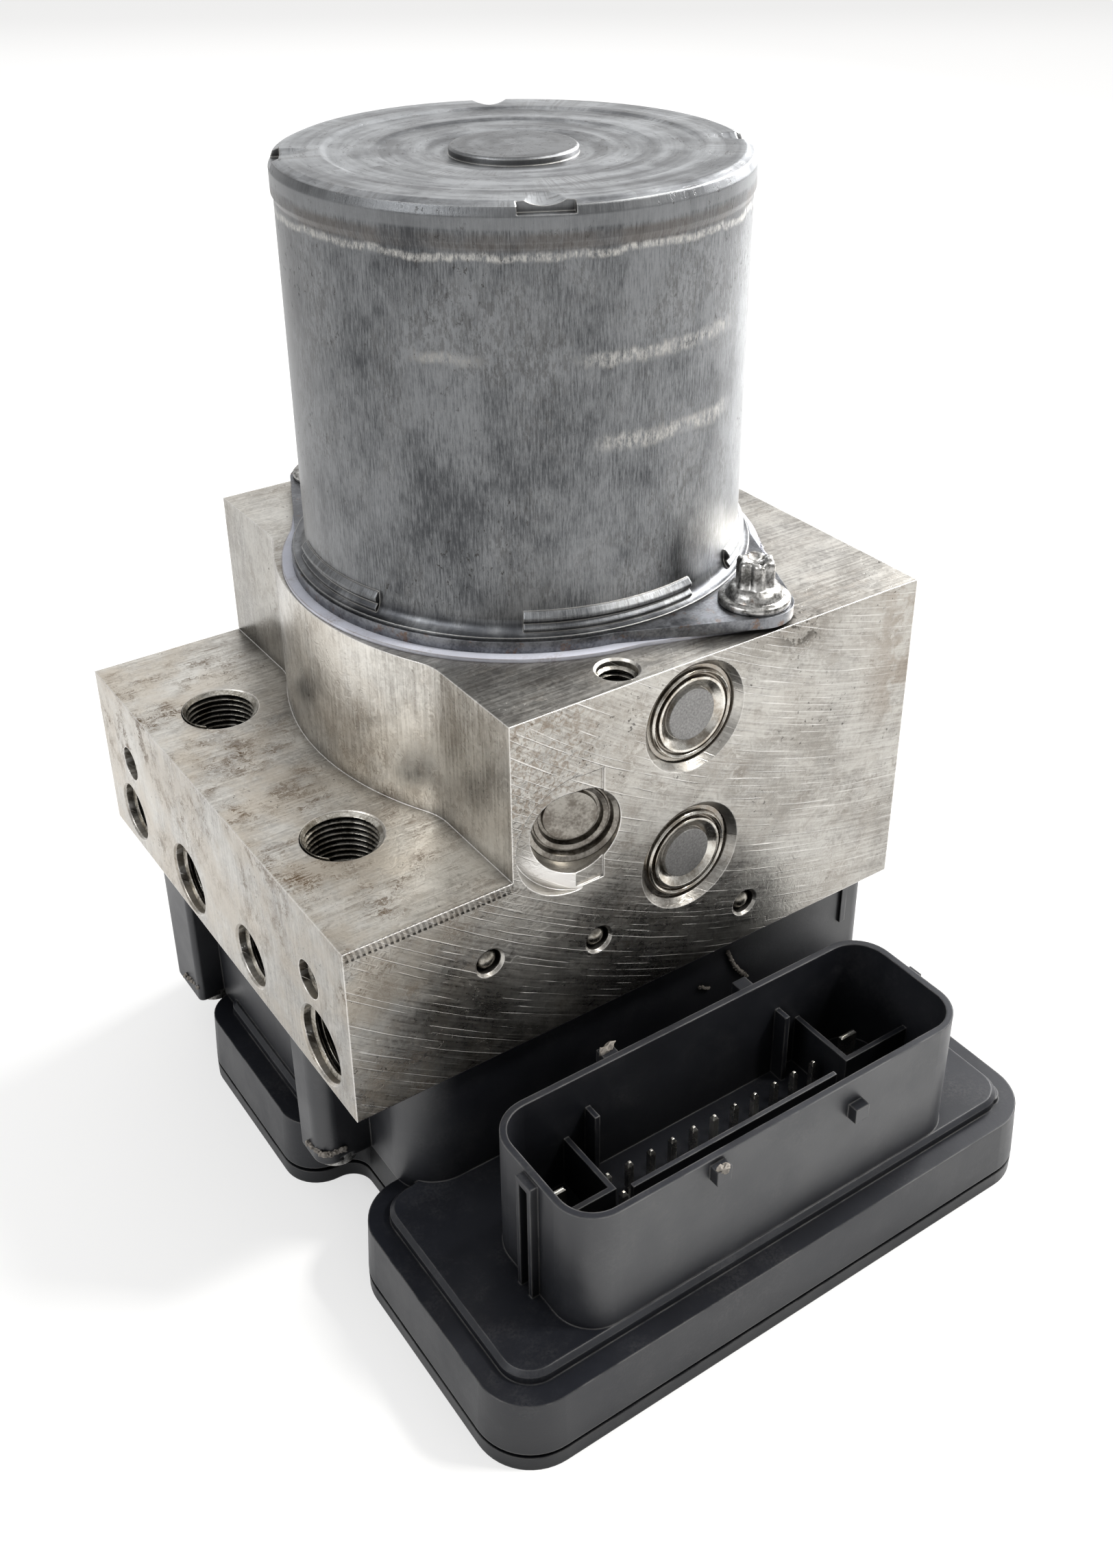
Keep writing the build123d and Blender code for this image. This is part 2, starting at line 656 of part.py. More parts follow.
sleeves = [lying_tube(0, pump_z, side, sleeve_outer_end - sleeve_length, sleeve_outer_end, sleeve_radius,
                      piston_radius + running_gap) for side in (-1, 1)]
save(Compound(sleeves), "pump_sleeves")
for side, name in ((-1, "front"), (1, "back")):
    turn = facing_front if side < 0 else facing_back
    piston_outer = piston_inner + piston_length
    piston = lying_tube(0, pump_z, side, piston_inner, piston_outer, piston_radius)
    piston -= lying_tube(0, pump_z, side, piston_outer - 3, piston_outer + over, piston_radius - 1.2)
    save(piston, f"{name}_pump_piston")
    pump_spring_start = piston_outer - 3
    pump_spring_length = half_width - 6.5 - pump_spring_start
    save(Pos(0, side * pump_spring_start, pump_z) * turn
         * spring(2.1, 0.35, pump_spring_length, 5), f"{name}_pump_spring")

    # Low-pressure accumulator: cup piston with its ring seal and spring
    inner_end = half_width - accumulator_bore_depth + accumulator_end_gap
    outer_end = inner_end + accumulator_piston_length
    cup_radius = accumulator_bore_radius - running_gap
    cup = lying_tube(0, accumulator_z, side, inner_end, outer_end, cup_radius)
    cup -= lying_tube(0, accumulator_z, side, inner_end + 2.5, outer_end + over, cup_radius - 2.4)
    groove_mid = inner_end + accumulator_piston_length * 0.55
    cup -= lying_tube(0, accumulator_z, side, groove_mid - 0.9, groove_mid + 0.9, cup_radius + over,
                      cup_radius - 1.3)
    save(cup, f"{name}_accumulator_piston")
    save(lying_tube(0, accumulator_z, side, groove_mid - 0.75, groove_mid + 0.75,
                    accumulator_bore_radius - 0.03, cup_radius - 1.2), f"{name}_accumulator_seal")
    spring_start = inner_end + 2.5
    spring_end = half_width - plug_recess - accumulator_plug_length + 2.0
    save(Pos(0, side * spring_start, accumulator_z) * turn
         * spring(4.6, spring_wire, spring_end - spring_start, 5), f"{name}_accumulator_spring")


# Solenoid valves: a body pressed into the block, with a dome that reaches down through its coil

def valve_body(x, y, depth):
    dome_bottom = block_bottom - dome_length
    inner = dome_radius - dome_wall
    shape = turned([(0, dome_bottom), (dome_radius, dome_bottom), (dome_radius, block_bottom - 1.2),
                    (valve_bore_radius - plug_gap, block_bottom - 1.2),
                    (valve_bore_radius - plug_gap, block_bottom + depth - 5.0),
                    (3.4, block_bottom + depth - 4.4), (3.4, block_bottom + depth - 0.3),
                    (1.0, block_bottom + depth - 0.3), (1.0, dome_bottom + dome_wall + armature_length + 2.5),
                    (inner, dome_bottom + dome_wall + armature_length + 2.5), (inner, dome_bottom + dome_wall),
                    (0, dome_bottom + dome_wall)])
    return Pos(x, y) * shape


def valve_armature(x, y):
    start = block_bottom - dome_length + dome_wall + 0.1
    radius = dome_radius - dome_wall - armature_gap
    end = start + armature_length
    shape = turned([(0, start), (radius, start), (radius, end), (0.8, end), (0.8, end + 7.0), (0, end + 7.6)])
    return Pos(x, y) * shape


valves = [(inlet_row_x, y, inlet_valve_depth) for y in valve_ys]
valves += [(outlet_row_x, y, outlet_valve_depth) for y in valve_ys]
save(Compound([valve_body(*valve) for valve in valves[:4]]), "inlet_valves")
save(Compound([valve_body(*valve) for valve in valves[4:]]), "outlet_valves")
for index, (x, y, depth) in enumerate(valves):
    kind = "inlet" if index < 4 else "outlet"
    save(valve_armature(x, y), f"{kind}_armature_{index % 4 + 1}")
valve_spring_bottom = block_bottom - dome_length + dome_wall + 0.1 + armature_length
valve_springs = [tube(x, y, valve_spring_bottom + 0.1, valve_spring_bottom + 2.2, 2.2, 1.4) for x, y, depth in valves]
save(Compound(valve_springs), "valve_springs")

coil_bottom = coil_floor
coil_top = coil_bottom + coil_height
coil_bore = dome_radius + coil_bore_gap


def coil_yoke(x, y):
    cup = tube(x, y, coil_bottom, coil_top, coil_radius, coil_radius - yoke_wall)
    cup += tube(x, y, coil_bottom, coil_bottom + yoke_wall, coil_radius, coil_bore)
    cup += tube(x, y, coil_top - yoke_wall, coil_top, coil_radius, coil_bore)
    return cup


def coil_winding(x, y):
    return tube(x, y, coil_bottom + yoke_wall, coil_top - yoke_wall, coil_radius - yoke_wall - plug_gap, coil_bore)


save(Compound([coil_yoke(x, y) for x, y, depth in valves]), "coil_yokes")
save(Compound([coil_winding(x, y) for x, y, depth in valves]), "coil_windings")
coil_pins = [block_of(x + dx - 0.4, x + dx + 0.4, y - 0.4, y + 0.4, board_bottom, coil_bottom)
             for x, y, depth in valves for dx in (-5.5, 5.5)]
save(Compound(coil_pins), "coil_pins")


# Control unit housing: one moulding with the coil box, the screw columns and the connector shroud

def unit_points():
    left_in = unit_left + notch_depth
    right_in = unit_right - right_notch_depth
    far = right_notch_far
    outer, inner, right_outer = notch_round, notch_inner_round, right_notch_round
    return [(unit_left, unit_front, unit_corner), (unit_right, unit_front, unit_corner),
            (unit_right, -far, right_outer), (right_in, -far, inner), (right_in, -notch_near, inner),
            (unit_right, -notch_near, right_outer), (unit_right, notch_near, right_outer),
            (right_in, notch_near, inner), (right_in, far, inner), (unit_right, far, right_outer),
            (unit_right, unit_back, platform_corner), (left_in, unit_back, unit_corner), (left_in, notch_near, inner),
            (unit_left, notch_near, outer), (unit_left, -notch_near, outer), (left_in, -notch_near, inner),
            (left_in, -notch_far, front_notch_inner_round), (unit_left, -notch_far, front_notch_round)]


def unit_plan(inset=0.0):
    # the outline of the control unit, with every side moved inwards by the inset
    points = unit_points()
    corners = []
    radii = []
    for index, (x, y, radius) in enumerate(points):
        last_x, last_y, _ = points[index - 1]
        next_x, next_y, _ = points[(index + 1) % len(points)]
        along_in = (sign(x - last_x), sign(y - last_y))
        along_out = (sign(next_x - x), sign(next_y - y))
        corners.append((x - (along_in[1] + along_out[1]) * inset, y + (along_in[0] + along_out[0]) * inset))
        outward = along_in[0] * along_out[1] - along_in[1] * along_out[0] > 0
        radii.append(max(radius - inset, 0.4) if outward else min(radius + inset, notch_depth - 2))
    return plan(corners, radii)


def coil_box_plan():
    right_corner = coil_box_right_corner
    points = [(coil_box_left, -coil_box_half, coil_box_corner), (coil_box_right, -coil_box_half, right_corner),
              (coil_box_right, coil_box_half, right_corner), (coil_box_left, coil_box_half, coil_box_corner),
              (coil_box_left, back_column_far, 0), (column_left, back_column_far, column_corner),
              (column_left, column_near, 1.0), (side_wall_left, column_near, 0), (side_wall_left, -column_near, 0),
              (column_left, -column_near, 1.0), (column_left, -column_far, column_corner),
              (coil_box_left, -column_far, 0)]
    return plan([(x, y) for x, y, radius in points], [radius for x, y, radius in points])


housing = loft([Pos(0, 0, housing_bottom) * unit_plan(), Pos(0, 0, border_height) * unit_plan(unit_draft)],
               ruled=True)
edge_bottom = platform_top - platform_edge_round
housing += slab(unit_plan(unit_draft + platform_inset), border_height - over, edge_bottom)
housing += loft([Pos(0, 0, edge_bottom) * unit_plan(unit_draft + platform_inset),
                 Pos(0, 0, platform_top) * unit_plan(unit_draft + platform_inset + platform_edge_round)], ruled=True)
housing -= slab(unit_plan(unit_wall + unit_draft), housing_bottom - over, border_height - unit_wall)
housing -= slab(unit_plan(platform_inset + unit_wall), border_height - unit_wall - over, platform_top - unit_wall)
housing += slab(coil_box_plan(), platform_top - unit_wall, coil_box_top)
coil_rib_x = coil_box_right - coil_rib_inset
housing += block_of(coil_rib_x - coil_rib_width / 2, coil_rib_x + coil_rib_width / 2, -coil_box_half - 0.5,
                    -coil_box_half + 0.5, coil_box_top - coil_rib_height, coil_box_top)
inner_left = coil_box_left + coil_box_wall
inner_right = coil_box_right - coil_box_wall
inner_half = coil_box_half - coil_box_wall
chamber = slab(rounded_plan(inner_left, inner_right, -inner_half, inner_half, coil_box_corner - coil_box_wall),
               coil_floor, coil_box_top + over)
chamber += block_of(side_wall_left + coil_box_wall, inner_left + 1, -column_near + coil_box_wall,
                    column_near - coil_box_wall, coil_floor, coil_box_top + over)
for side in (-1, 1):
    chamber -= block_of(right_screw_x - 3.6, inner_right + over, side * column_near, side * column_far,
                        coil_floor - over, coil_box_top + 2 * over)
housing -= chamber
for side in (-1, 1):
    for screw_x in (left_screw_x, right_screw_x):
        housing -= post(screw_x, side * screw_y, 0, coil_box_top + over, unit_screw_radius + 0.25)
        housing -= post(screw_x, side * screw_y, 0, screw_seat, unit_screw_head_radius + 0.6)
for x, y, depth in valves:
    for dx in (-5.5, 5.5):
        housing -= Pos(x + dx, y, coil_floor - 2) * Box(1.2, 1.2, 8)
housing -= post(contact_bore_x, 0, platform_top - 4, coil_floor + over, 3.0)

# Connector shroud on the platform
shroud = slab(rounded_plan(shroud_left, shroud_right, shroud_front, shroud_back, shroud_corner),
              platform_top - over, shroud_top)
socket_left, socket_right = shroud_left + shroud_wall, shroud_right - shroud_wall
socket_front, socket_back = shroud_front + shroud_wall, shroud_back - shroud_wall
shroud -= slab(rounded_plan(socket_left, socket_right, socket_front, socket_back, shroud_corner - shroud_wall),
               socket_bottom, shroud_top + over)
for side in (-1, 1):
    end = shroud_mid_x + side * (shroud_right - shroud_left) / 2
    wall_x = end - side * (divider_inset + shroud_wall)
    corner_y = socket_back - divider_reach
    half = divider_thickness / 2
    shroud += block_of(wall_x - half, wall_x + half, corner_y, socket_back + 0.5, socket_bottom - over,
                       platform_top + divider_rise)
    shroud += block_of(wall_x - side * half, end - side * 0.5, corner_y - half, corner_y + half,
                       socket_bottom - over, platform_top + divider_rise)
    key_x = end - side * key_insets[side > 0]
    shroud += block_of(key_x - half, key_x + half, socket_back - key_reach, socket_back + 0.5,
                       socket_bottom - over, platform_top + key_rise)
pegs = ((-19.9, 19.8), (6.5, 16.2))    # x and height above the platform
for x, rise in pegs:
    shroud += block_of(x - peg_size / 2, x + peg_size / 2, shroud_front - peg_reach, shroud_front + 0.5,
                       platform_top + rise - peg_size / 2, platform_top + rise + peg_size / 2)
    shroud += block_of(x - peg_size / 2, x + peg_size / 2, shroud_back - 0.5, shroud_back + back_peg_reach,
                       platform_top + back_peg_rise - peg_size / 2, platform_top + back_peg_rise + peg_size / 2)
end_peg_y = (shroud_front + shroud_back) / 2 + 1.0
shroud += block_of(shroud_right - 0.5, shroud_right + peg_reach, end_peg_y - 1.2, end_peg_y + 1.2,
                   shroud_top - 4.4, shroud_top - 1.4)
for side in (-1, 1):
    rib_y = guide_mid_y + side * (guide_rib_gap + guide_rib_thickness) / 2
    shroud += block_of(shroud_left - guide_rib_reach, shroud_left + 0.5, rib_y - guide_rib_thickness / 2,
                       rib_y + guide_rib_thickness / 2, platform_top - 0.5, shroud_top - 1.6)
guide_half = guide_rib_gap / 2 + guide_rib_thickness
shroud += block_of(shroud_left - guide_rib_reach, shroud_left + 0.5, guide_mid_y - guide_half,
                   guide_mid_y + guide_half, shroud_top - 1.6, shroud_top - 0.5)
shroud += block_of(rail_left, rail_right, rail_y - rail_thickness / 2, rail_y + rail_thickness / 2,
                   socket_bottom - over, platform_top + rail_rise)
housing += shroud
pin_xs = [shroud_mid_x + (i - (pin_columns - 1) / 2) * pin_pitch for i in range(pin_columns)]
pin_ys = [pin_first_row - pin_pitch * i for i in range(pin_rows)]
blade_half = divider_inset / 2 + 0.4
blade_xs = (socket_left + blade_half, socket_right - blade_half)
blade_ys = (socket_back - divider_reach / 2, socket_front + 4.6)
for x in pin_xs:
    for y in pin_ys:
        housing -= block_of(x - pin_side / 2, x + pin_side / 2, y - pin_side / 2, y + pin_side / 2,
                            board_top, socket_bottom + over)
for x in blade_xs:
    for y in blade_ys:
        housing -= block_of(x - blade_width / 2, x + blade_width / 2, y - blade_thickness / 2,
                            y + blade_thickness / 2, board_top, socket_bottom + over)
board_posts = [(-50.0, -50.0), (-50.0, -76.0), (39.5, -50.0), (39.5, -76.0), (-38.0, 36.0), (36.0, 0.0)]
for x, y in board_posts:
    housing += post(x, y, board_top, platform_top - 1, 2.2)
save(housing, "control_housing")


def connector_pin(x, y):
    half = pin_side / 2
    pin = block_of(x - half, x + half, y - half, y + half, board_bottom, pin_top)
    return chamfer(pin.faces().sort_by(Axis.Z)[-1].edges(), 0.6, pin_tip_round)


def power_blade(x, y):
    blade = block_of(x - blade_width / 2, x + blade_width / 2, y - blade_thickness / 2, y + blade_thickness / 2,
                     board_bottom, pin_top + 0.6)
    return chamfer(blade.faces().sort_by(Axis.Z)[-1].edges(), 0.3)


save(Compound([connector_pin(x, y) for x in pin_xs for y in pin_ys]), "connector_pins")
save(Compound([power_blade(x, y) for x in blade_xs for y in blade_ys]), "power_blades")

# Circuit board with its larger components
board = slab(unit_plan(unit_wall + unit_draft + board_gap), board_bottom, board_top)
for x, y, depth in valves:
    for dx in (-5.5, 5.5):
        board -= Pos(x + dx, y, board_bottom) * Box(0.8, 0.8, 8)
for dx in (-0.8, 0.8):
    board -= Pos(contact_bore_x + dx, 0, board_bottom) * Box(0.8, 0.8, 8)
for x in pin_xs:
    for y in pin_ys:
        board -= Pos(x, y, board_bottom) * Box(pin_side, pin_side, 8)
for x in blade_xs:
    for y in blade_ys:
        board -= Pos(x, y, board_bottom) * Box(blade_width, blade_thickness, 8)
save(board, "circuit_board")
chip_places = ((coil_box_left + 27.5, 1.6, 18.0, 1.6), (coil_box_left + 50.5, 0.6, 12.0, 1.6),
               (coil_box_right - 18.9, 2.4, 10.0, 2.2))    # x, y from the coil box's front wall, side, height
chips = [Pos(x, -coil_box_half + y, board_bottom - height / 2) * Box(side, side, height)
         for x, y, side, height in chip_places]
chips += [Pos(x, coil_box_half - 13, board_bottom - 0.8) * Box(8, 8, 1.6)
          for x in (coil_box_left + 18.5, coil_box_right - 22.9)]
save(Compound(chips), "board_chips")

# Cover with the lip that the housing wall stands on
cover = slab(unit_plan(), 0, cover_thickness)
cover += slab(unit_plan(seam_inset) - unit_plan(unit_wall + unit_draft), cover_thickness - 0.5, housing_bottom)
save(cover, "control_cover")

# Seal between the coil box and the block
seal_plan = (rounded_plan(coil_box_left + 0.3, coil_box_right - 0.3, -coil_box_half + 0.3, coil_box_half - 0.3,
                          coil_box_corner - 0.3)
             - rounded_plan(coil_box_left + 0.3 + seal_width, coil_box_right - 0.3 - seal_width,
                            -coil_box_half + 0.3 + seal_width, coil_box_half - 0.3 - seal_width,
                            coil_box_corner - 0.3 - seal_width))
save(slab(seal_plan, coil_box_top, block_bottom), "housing_seal")


def unit_screw(x, y):
    head_bottom = screw_seat - unit_screw_head_height
    shank = post(x, y, screw_seat, screw_seat + unit_screw_length, unit_screw_radius - plug_gap)
    head = post(x, y, head_bottom, screw_seat, unit_screw_head_radius)
    return shank + head - post(x, y, head_bottom - over, head_bottom + 1.6, 1.5)


save(Compound([unit_screw(x, side * screw_y) for side in (-1, 1) for x in (left_screw_x, right_screw_x)]),
     "control_unit_screws")
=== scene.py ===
import bpy
import bmesh
import json
import math
from mathutils import Matrix, Vector, noise


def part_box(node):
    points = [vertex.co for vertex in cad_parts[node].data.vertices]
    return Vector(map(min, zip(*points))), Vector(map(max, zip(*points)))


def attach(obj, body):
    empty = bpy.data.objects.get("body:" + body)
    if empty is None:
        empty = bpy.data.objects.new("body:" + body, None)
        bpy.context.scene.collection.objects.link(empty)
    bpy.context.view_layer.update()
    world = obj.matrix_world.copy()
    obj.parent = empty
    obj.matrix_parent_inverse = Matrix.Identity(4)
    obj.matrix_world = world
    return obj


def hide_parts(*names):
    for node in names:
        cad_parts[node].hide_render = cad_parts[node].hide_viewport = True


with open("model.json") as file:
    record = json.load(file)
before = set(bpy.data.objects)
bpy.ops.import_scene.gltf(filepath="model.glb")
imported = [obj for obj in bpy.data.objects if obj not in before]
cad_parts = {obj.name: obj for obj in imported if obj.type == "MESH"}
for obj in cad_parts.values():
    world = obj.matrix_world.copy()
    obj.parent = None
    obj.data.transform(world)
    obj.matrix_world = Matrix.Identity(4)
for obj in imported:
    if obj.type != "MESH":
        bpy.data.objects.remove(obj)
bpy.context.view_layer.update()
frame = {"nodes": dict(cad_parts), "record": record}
cadNodes = frame["nodes"]
mm = 0.001
broadRange = (0.3, 0.7)    # of a noise pattern's values
narrowRange = (0.35, 0.65)
print("frame loaded:", len(cadNodes), "nodes")


def nodeBox(name):
    # low and high corner of a CAD node, in millimetres
    low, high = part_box(name)
    return Vector(low) / mm, Vector(high) / mm


class Shader:
    # a material whose nodes are chained by short calls; lengths are in millimetres
    def __init__(self, name):
        self.material = bpy.data.materials.new(name)
        self.material.use_nodes = True
        self.tree = self.material.node_tree
        self.tree.nodes.clear()
        output = self.tree.nodes.new("ShaderNodeOutputMaterial")
        self.surface = self.tree.nodes.new("ShaderNodeBsdfPrincipled")
        self.tree.links.new(self.surface.outputs["BSDF"], output.inputs["Surface"])
        coordinates = self.tree.nodes.new("ShaderNodeTexCoord")
        self.place = self.vector("SCALE", coordinates.outputs["Object"], scale=1000.0)
        self.x, self.y, self.z = self.split(self.place)
        self.nx, self.ny, self.nz = self.split(coordinates.outputs["Normal"])

    def put(self, socket, value):
        if isinstance(value, bpy.types.NodeSocket):
            self.tree.links.new(value, socket)
        elif isinstance(value, (tuple, list)) and socket.type == "RGBA":
            socket.default_value = (*value, 1.0)
        else:
            socket.default_value = value

    def vector(self, operation, first, second=None, scale=None):
        node = self.tree.nodes.new("ShaderNodeVectorMath")
        node.operation = operation
        self.put(node.inputs[0], first)
        if second is not None:
            self.put(node.inputs[1], second)
        if scale is not None:
            self.put(node.inputs["Scale"], scale)
        return node.outputs["Value" if operation in ("LENGTH", "DOT_PRODUCT") else "Vector"]

    def split(self, vector):
        node = self.tree.nodes.new("ShaderNodeSeparateXYZ")
        self.put(node.inputs[0], vector)
        return node.outputs[0], node.outputs[1], node.outputs[2]

    def join(self, x, y, z):
        node = self.tree.nodes.new("ShaderNodeCombineXYZ")
        for socket, value in zip(node.inputs, (x, y, z)):
            self.put(socket, value)
        return node.outputs[0]

    def length(self, x, y, z):
        return self.vector("LENGTH", self.join(x, y, z))

    def math(self, operation, first, second=None):
        node = self.tree.nodes.new("ShaderNodeMath")
        node.operation = operation
        self.put(node.inputs[0], first)
        if second is not None:
            self.put(node.inputs[1], second)
        return node.outputs[0]

    def times(self, result, *others):
        for other in others:
            result = self.math("MULTIPLY", result, other)
        return result

    def plus(self, result, *others):
        for other in others:
            result = self.math("ADD", result, other)
        return result

    def minus(self, first, second):
        return self.math("SUBTRACT", first, second)

    def rest(self, share):
        return self.math("SUBTRACT", 1.0, share)

    def apart(self, first, second):
        return self.math("ABSOLUTE", self.minus(first, second))

    def span(self, value, low, high, toLow=0.0, toHigh=1.0):
        # a smooth ramp from toLow to toHigh between two values
        node = self.tree.nodes.new("ShaderNodeMapRange")
        node.interpolation_type = "SMOOTHSTEP"
        self.put(node.inputs["Value"], value)
        self.put(node.inputs["From Min"], low)
        self.put(node.inputs["From Max"], high)
        self.put(node.inputs["To Min"], toLow)
        self.put(node.inputs["To Max"], toHigh)
        return node.outputs["Result"]

    def pattern(self, settings, place=None):
        # noise whose patches have the given size; a range turns it into a mask
        node = self.tree.nodes.new("ShaderNodeTexNoise")
        place = self.place if place is None else place
        seed = settings.get("seed", 0.0)
        if seed:
            place = self.vector("ADD", place, (seed, seed * 1.7, seed * 0.6))
        self.put(node.inputs["Vector"], place)
        self.put(node.inputs["Scale"], 1.0 / settings["size"])
        self.put(node.inputs["Detail"], settings["detail"])
        self.put(node.inputs["Roughness"], settings.get("roughness", 0.55))
        self.put(node.inputs["Distortion"], settings.get("distortion", 0.0))
        value = node.outputs["Fac"]
        return self.span(value, *settings["range"]) if "range" in settings else value

    def mix(self, share, first, second):
        node = self.tree.nodes.new("ShaderNodeMix")
        node.data_type = "RGBA"
        node.clamp_factor = True
        self.put(node.inputs["Factor"], share)
        self.put(node.inputs[6], first)
        self.put(node.inputs[7], second)
        return node.outputs[2]

    def bump(self, height, depth, normal):
        # height runs from 0 to 1
        node = self.tree.nodes.new("ShaderNodeBump")
        self.put(node.inputs["Strength"], 1.0)
        self.put(node.inputs["Distance"], depth * mm)
        self.put(node.inputs["Height"], height)
        self.put(node.inputs["Normal"], normal)
        return node.outputs["Normal"]

    def roundEdge(self, radius):
        node = self.tree.nodes.new("ShaderNodeBevel")
        node.samples = 6
        self.put(node.inputs["Radius"], radius * mm)
        return node.outputs["Normal"]

    def edgeMask(self, radius):
        # 1 along the sharp edges, 0 on the open faces
        geometry = self.tree.nodes.new("ShaderNodeNewGeometry")
        bent = self.vector("DOT_PRODUCT", self.roundEdge(radius), geometry.outputs["True Normal"])
        return self.span(bent, 0.985, 0.8)

    def recess(self, distance):
        # 1 in the open, 0 in deep corners and pockets
        node = self.tree.nodes.new("ShaderNodeAmbientOcclusion")
        node.samples = 6
        self.put(node.inputs["Distance"], distance * mm)
        return self.span(node.outputs["AO"], 0.25, 0.8)

    def finish(self, color, metallic, roughness, normal, specular=None):
        self.put(self.surface.inputs["Base Color"], color)
        self.put(self.surface.inputs["Metallic"], metallic)
        self.put(self.surface.inputs["Roughness"], roughness)
        self.put(self.surface.inputs["Normal"], normal)
        if specular is not None:
            self.put(self.surface.inputs["Specular IOR Level"], specular)
        return self.material


# aluminium of the valve block
blockLook = {
    "light": (0.63, 0.612, 0.572), "dark": (0.31, 0.295, 0.272), "stainAndShade": (0.15, 0.105, 0.066),
    "warm": (0.50, 0.44, 0.36), "scratchAndHighlight": (0.95, 0.93, 0.90), "deep": (0.04, 0.034, 0.027),
    # noise patterns
    "arcLines": {"size": 0.42, "detail": 3, "roughness": 0.75},
    "straightLines": {"size": 0.5, "detail": 3, "roughness": 0.7},
    "feedWaver": {"size": 1.2, "detail": 2, "seed": 12.0},
    "brokenCuts": {"size": 1.6, "detail": 3, "seed": 27.0, "range": (0.46, 0.58)},
    "cutAreas": {"size": 19.0, "detail": 3, "seed": 21.0, "range": (0.32, 0.52)},
    "patches": {"size": 20.0, "detail": 7, "roughness": 0.66, "distortion": 0.5},
    "grain": {"size": 1.3, "detail": 4, "roughness": 0.6, "distortion": 1.6, "seed": 9.0},
    "wornAreas": {"size": 26.0, "detail": 3, "seed": 31.0, "range": (0.46, 0.60)},
    "grimeScratches": {"size": 1.4, "detail": 7, "roughness": 0.82, "seed": 3.0, "range": (0.47, 0.60)},
    "grimeAreas": {"size": 13.0, "detail": 6, "roughness": 0.6, "seed": 14.0, "range": (0.40, 0.62)},
    "warmAreas": {"size": 11.0, "detail": 6, "roughness": 0.65, "seed": 52.0, "range": (0.38, 0.62)},
    "pits": {"size": 0.8, "detail": 3, "roughness": 0.7, "seed": 44.0, "range": (0.63, 0.70)},
    "pitAreas": {"size": 9.0, "detail": 3, "seed": 45.0, "range": (0.48, 0.62)},
    "dents": {"size": 1.1, "detail": 5, "roughness": 0.66, "distortion": 1.1, "seed": 61.0,
              "range": (0.45, 0.60)},
    "edgeDirt": {"size": 6.0, "detail": 6, "roughness": 0.7, "seed": 71.0, "range": (0.41, 0.55)},
    "earSpots": {"size": 2.0, "detail": 4, "roughness": 0.7, "seed": 73.0, "range": (0.47, 0.56)},
    # milling: the cutter's middle, the step between its arcs, and how far their lines are drawn out
    "millCentre": (69.0, 214.0), "feed": 1.15, "feedWander": 0.9, "cutWidth": (0.09, 0.025),
    "turnScale": 160.0, "lineAlong": 0.035, "lineAcross": 0.1, "otherAlong": 0.05, "waverAlong": 0.05,
    "breakAlong": 0.13, "cutsFade": (14.0, 38.0, 1.0, 0.4),
    "patchShare": 0.46, "lineShare": 0.32, "grainShare": 0.22, "shadeRange": (0.38, 0.60),
    # places, as x or y, as height over the step, or as distance
    "stepRise": 30.1, "facing": (0.6, 0.8), "crumpledX": (-12.0, -24.0), "crumpledRise": (-2.0, 12.0),
    "portReach": (34.0, 2.0), "warmth": (0.0, 1.0, 0.12, 0.6), "stepEdge": (16.0, 0.0, 0.35, 1.0),
    "farEdge": (13.0, 2.0), "farRise": (-4.0, 8.0), "earX": 19.5, "earReach": (6.0, 2.4),
    # painted light and shade, by face and place
    "frontGain": (-25.0, 35.0, 0.78, 0.66), "topGain": (-10.0, 32.0, 1.05, 0.79), "stepTopGain": 1.14,
    "topFade": (1.0, 4.0), "sideFade": (-0.5, 0.5),
    "portGain": (-16.0, -2.0, 0.94, 0.83), "sideGain": (-20.0, 36.0, 1.22, 0.66),
    # how strongly each mark shows
    "scratchDrift": 6.0, "scratchStretch": (0.3, 1.0, 0.5), "grimeShare": 0.85, "grimeFloor": 0.35,
    "pitShare": 0.7, "dentShare": 0.55, "farEdgeShare": 0.42, "earShare": 0.85, "cutShare": 0.5,
    "seatShare": 0.85, "toothShare": 0.45, "recessShadeShare": 0.8, "edgeShare": 0.75, "crumpledDepth": 2.2,
    # seat of the slanting bore, and the torn lip under the step's front edge
    "seatFacing": ((0.985, 0.965), (0.88, 0.92)), "seatDrop": 21.7, "seatFade": (-1.0, -5.0),
    "lipEnd": (-31.6, -32.4), "lipDepth": (0.3, 0.1), "toothFoot": (1.68, 1.12), "toothTop": (-0.2, 0.0),
    "toothPitch": 0.85, "toothLean": 0.25, "toothEdge": (0.25, 0.6), "toothDepth": 0.10,
    "recessShadeReach": 5.0, "edgeWidth": 0.4, "edgeRadius": 0.22, "lineDepth": 0.012, "grainDepth": 0.045,
    "grainBase": 0.35, "cutDepth": 0.03, "roughness": (0.34, 0.66, 0.24, 0.38), "grimeRough": 0.25,
    "topRough": 0.10}


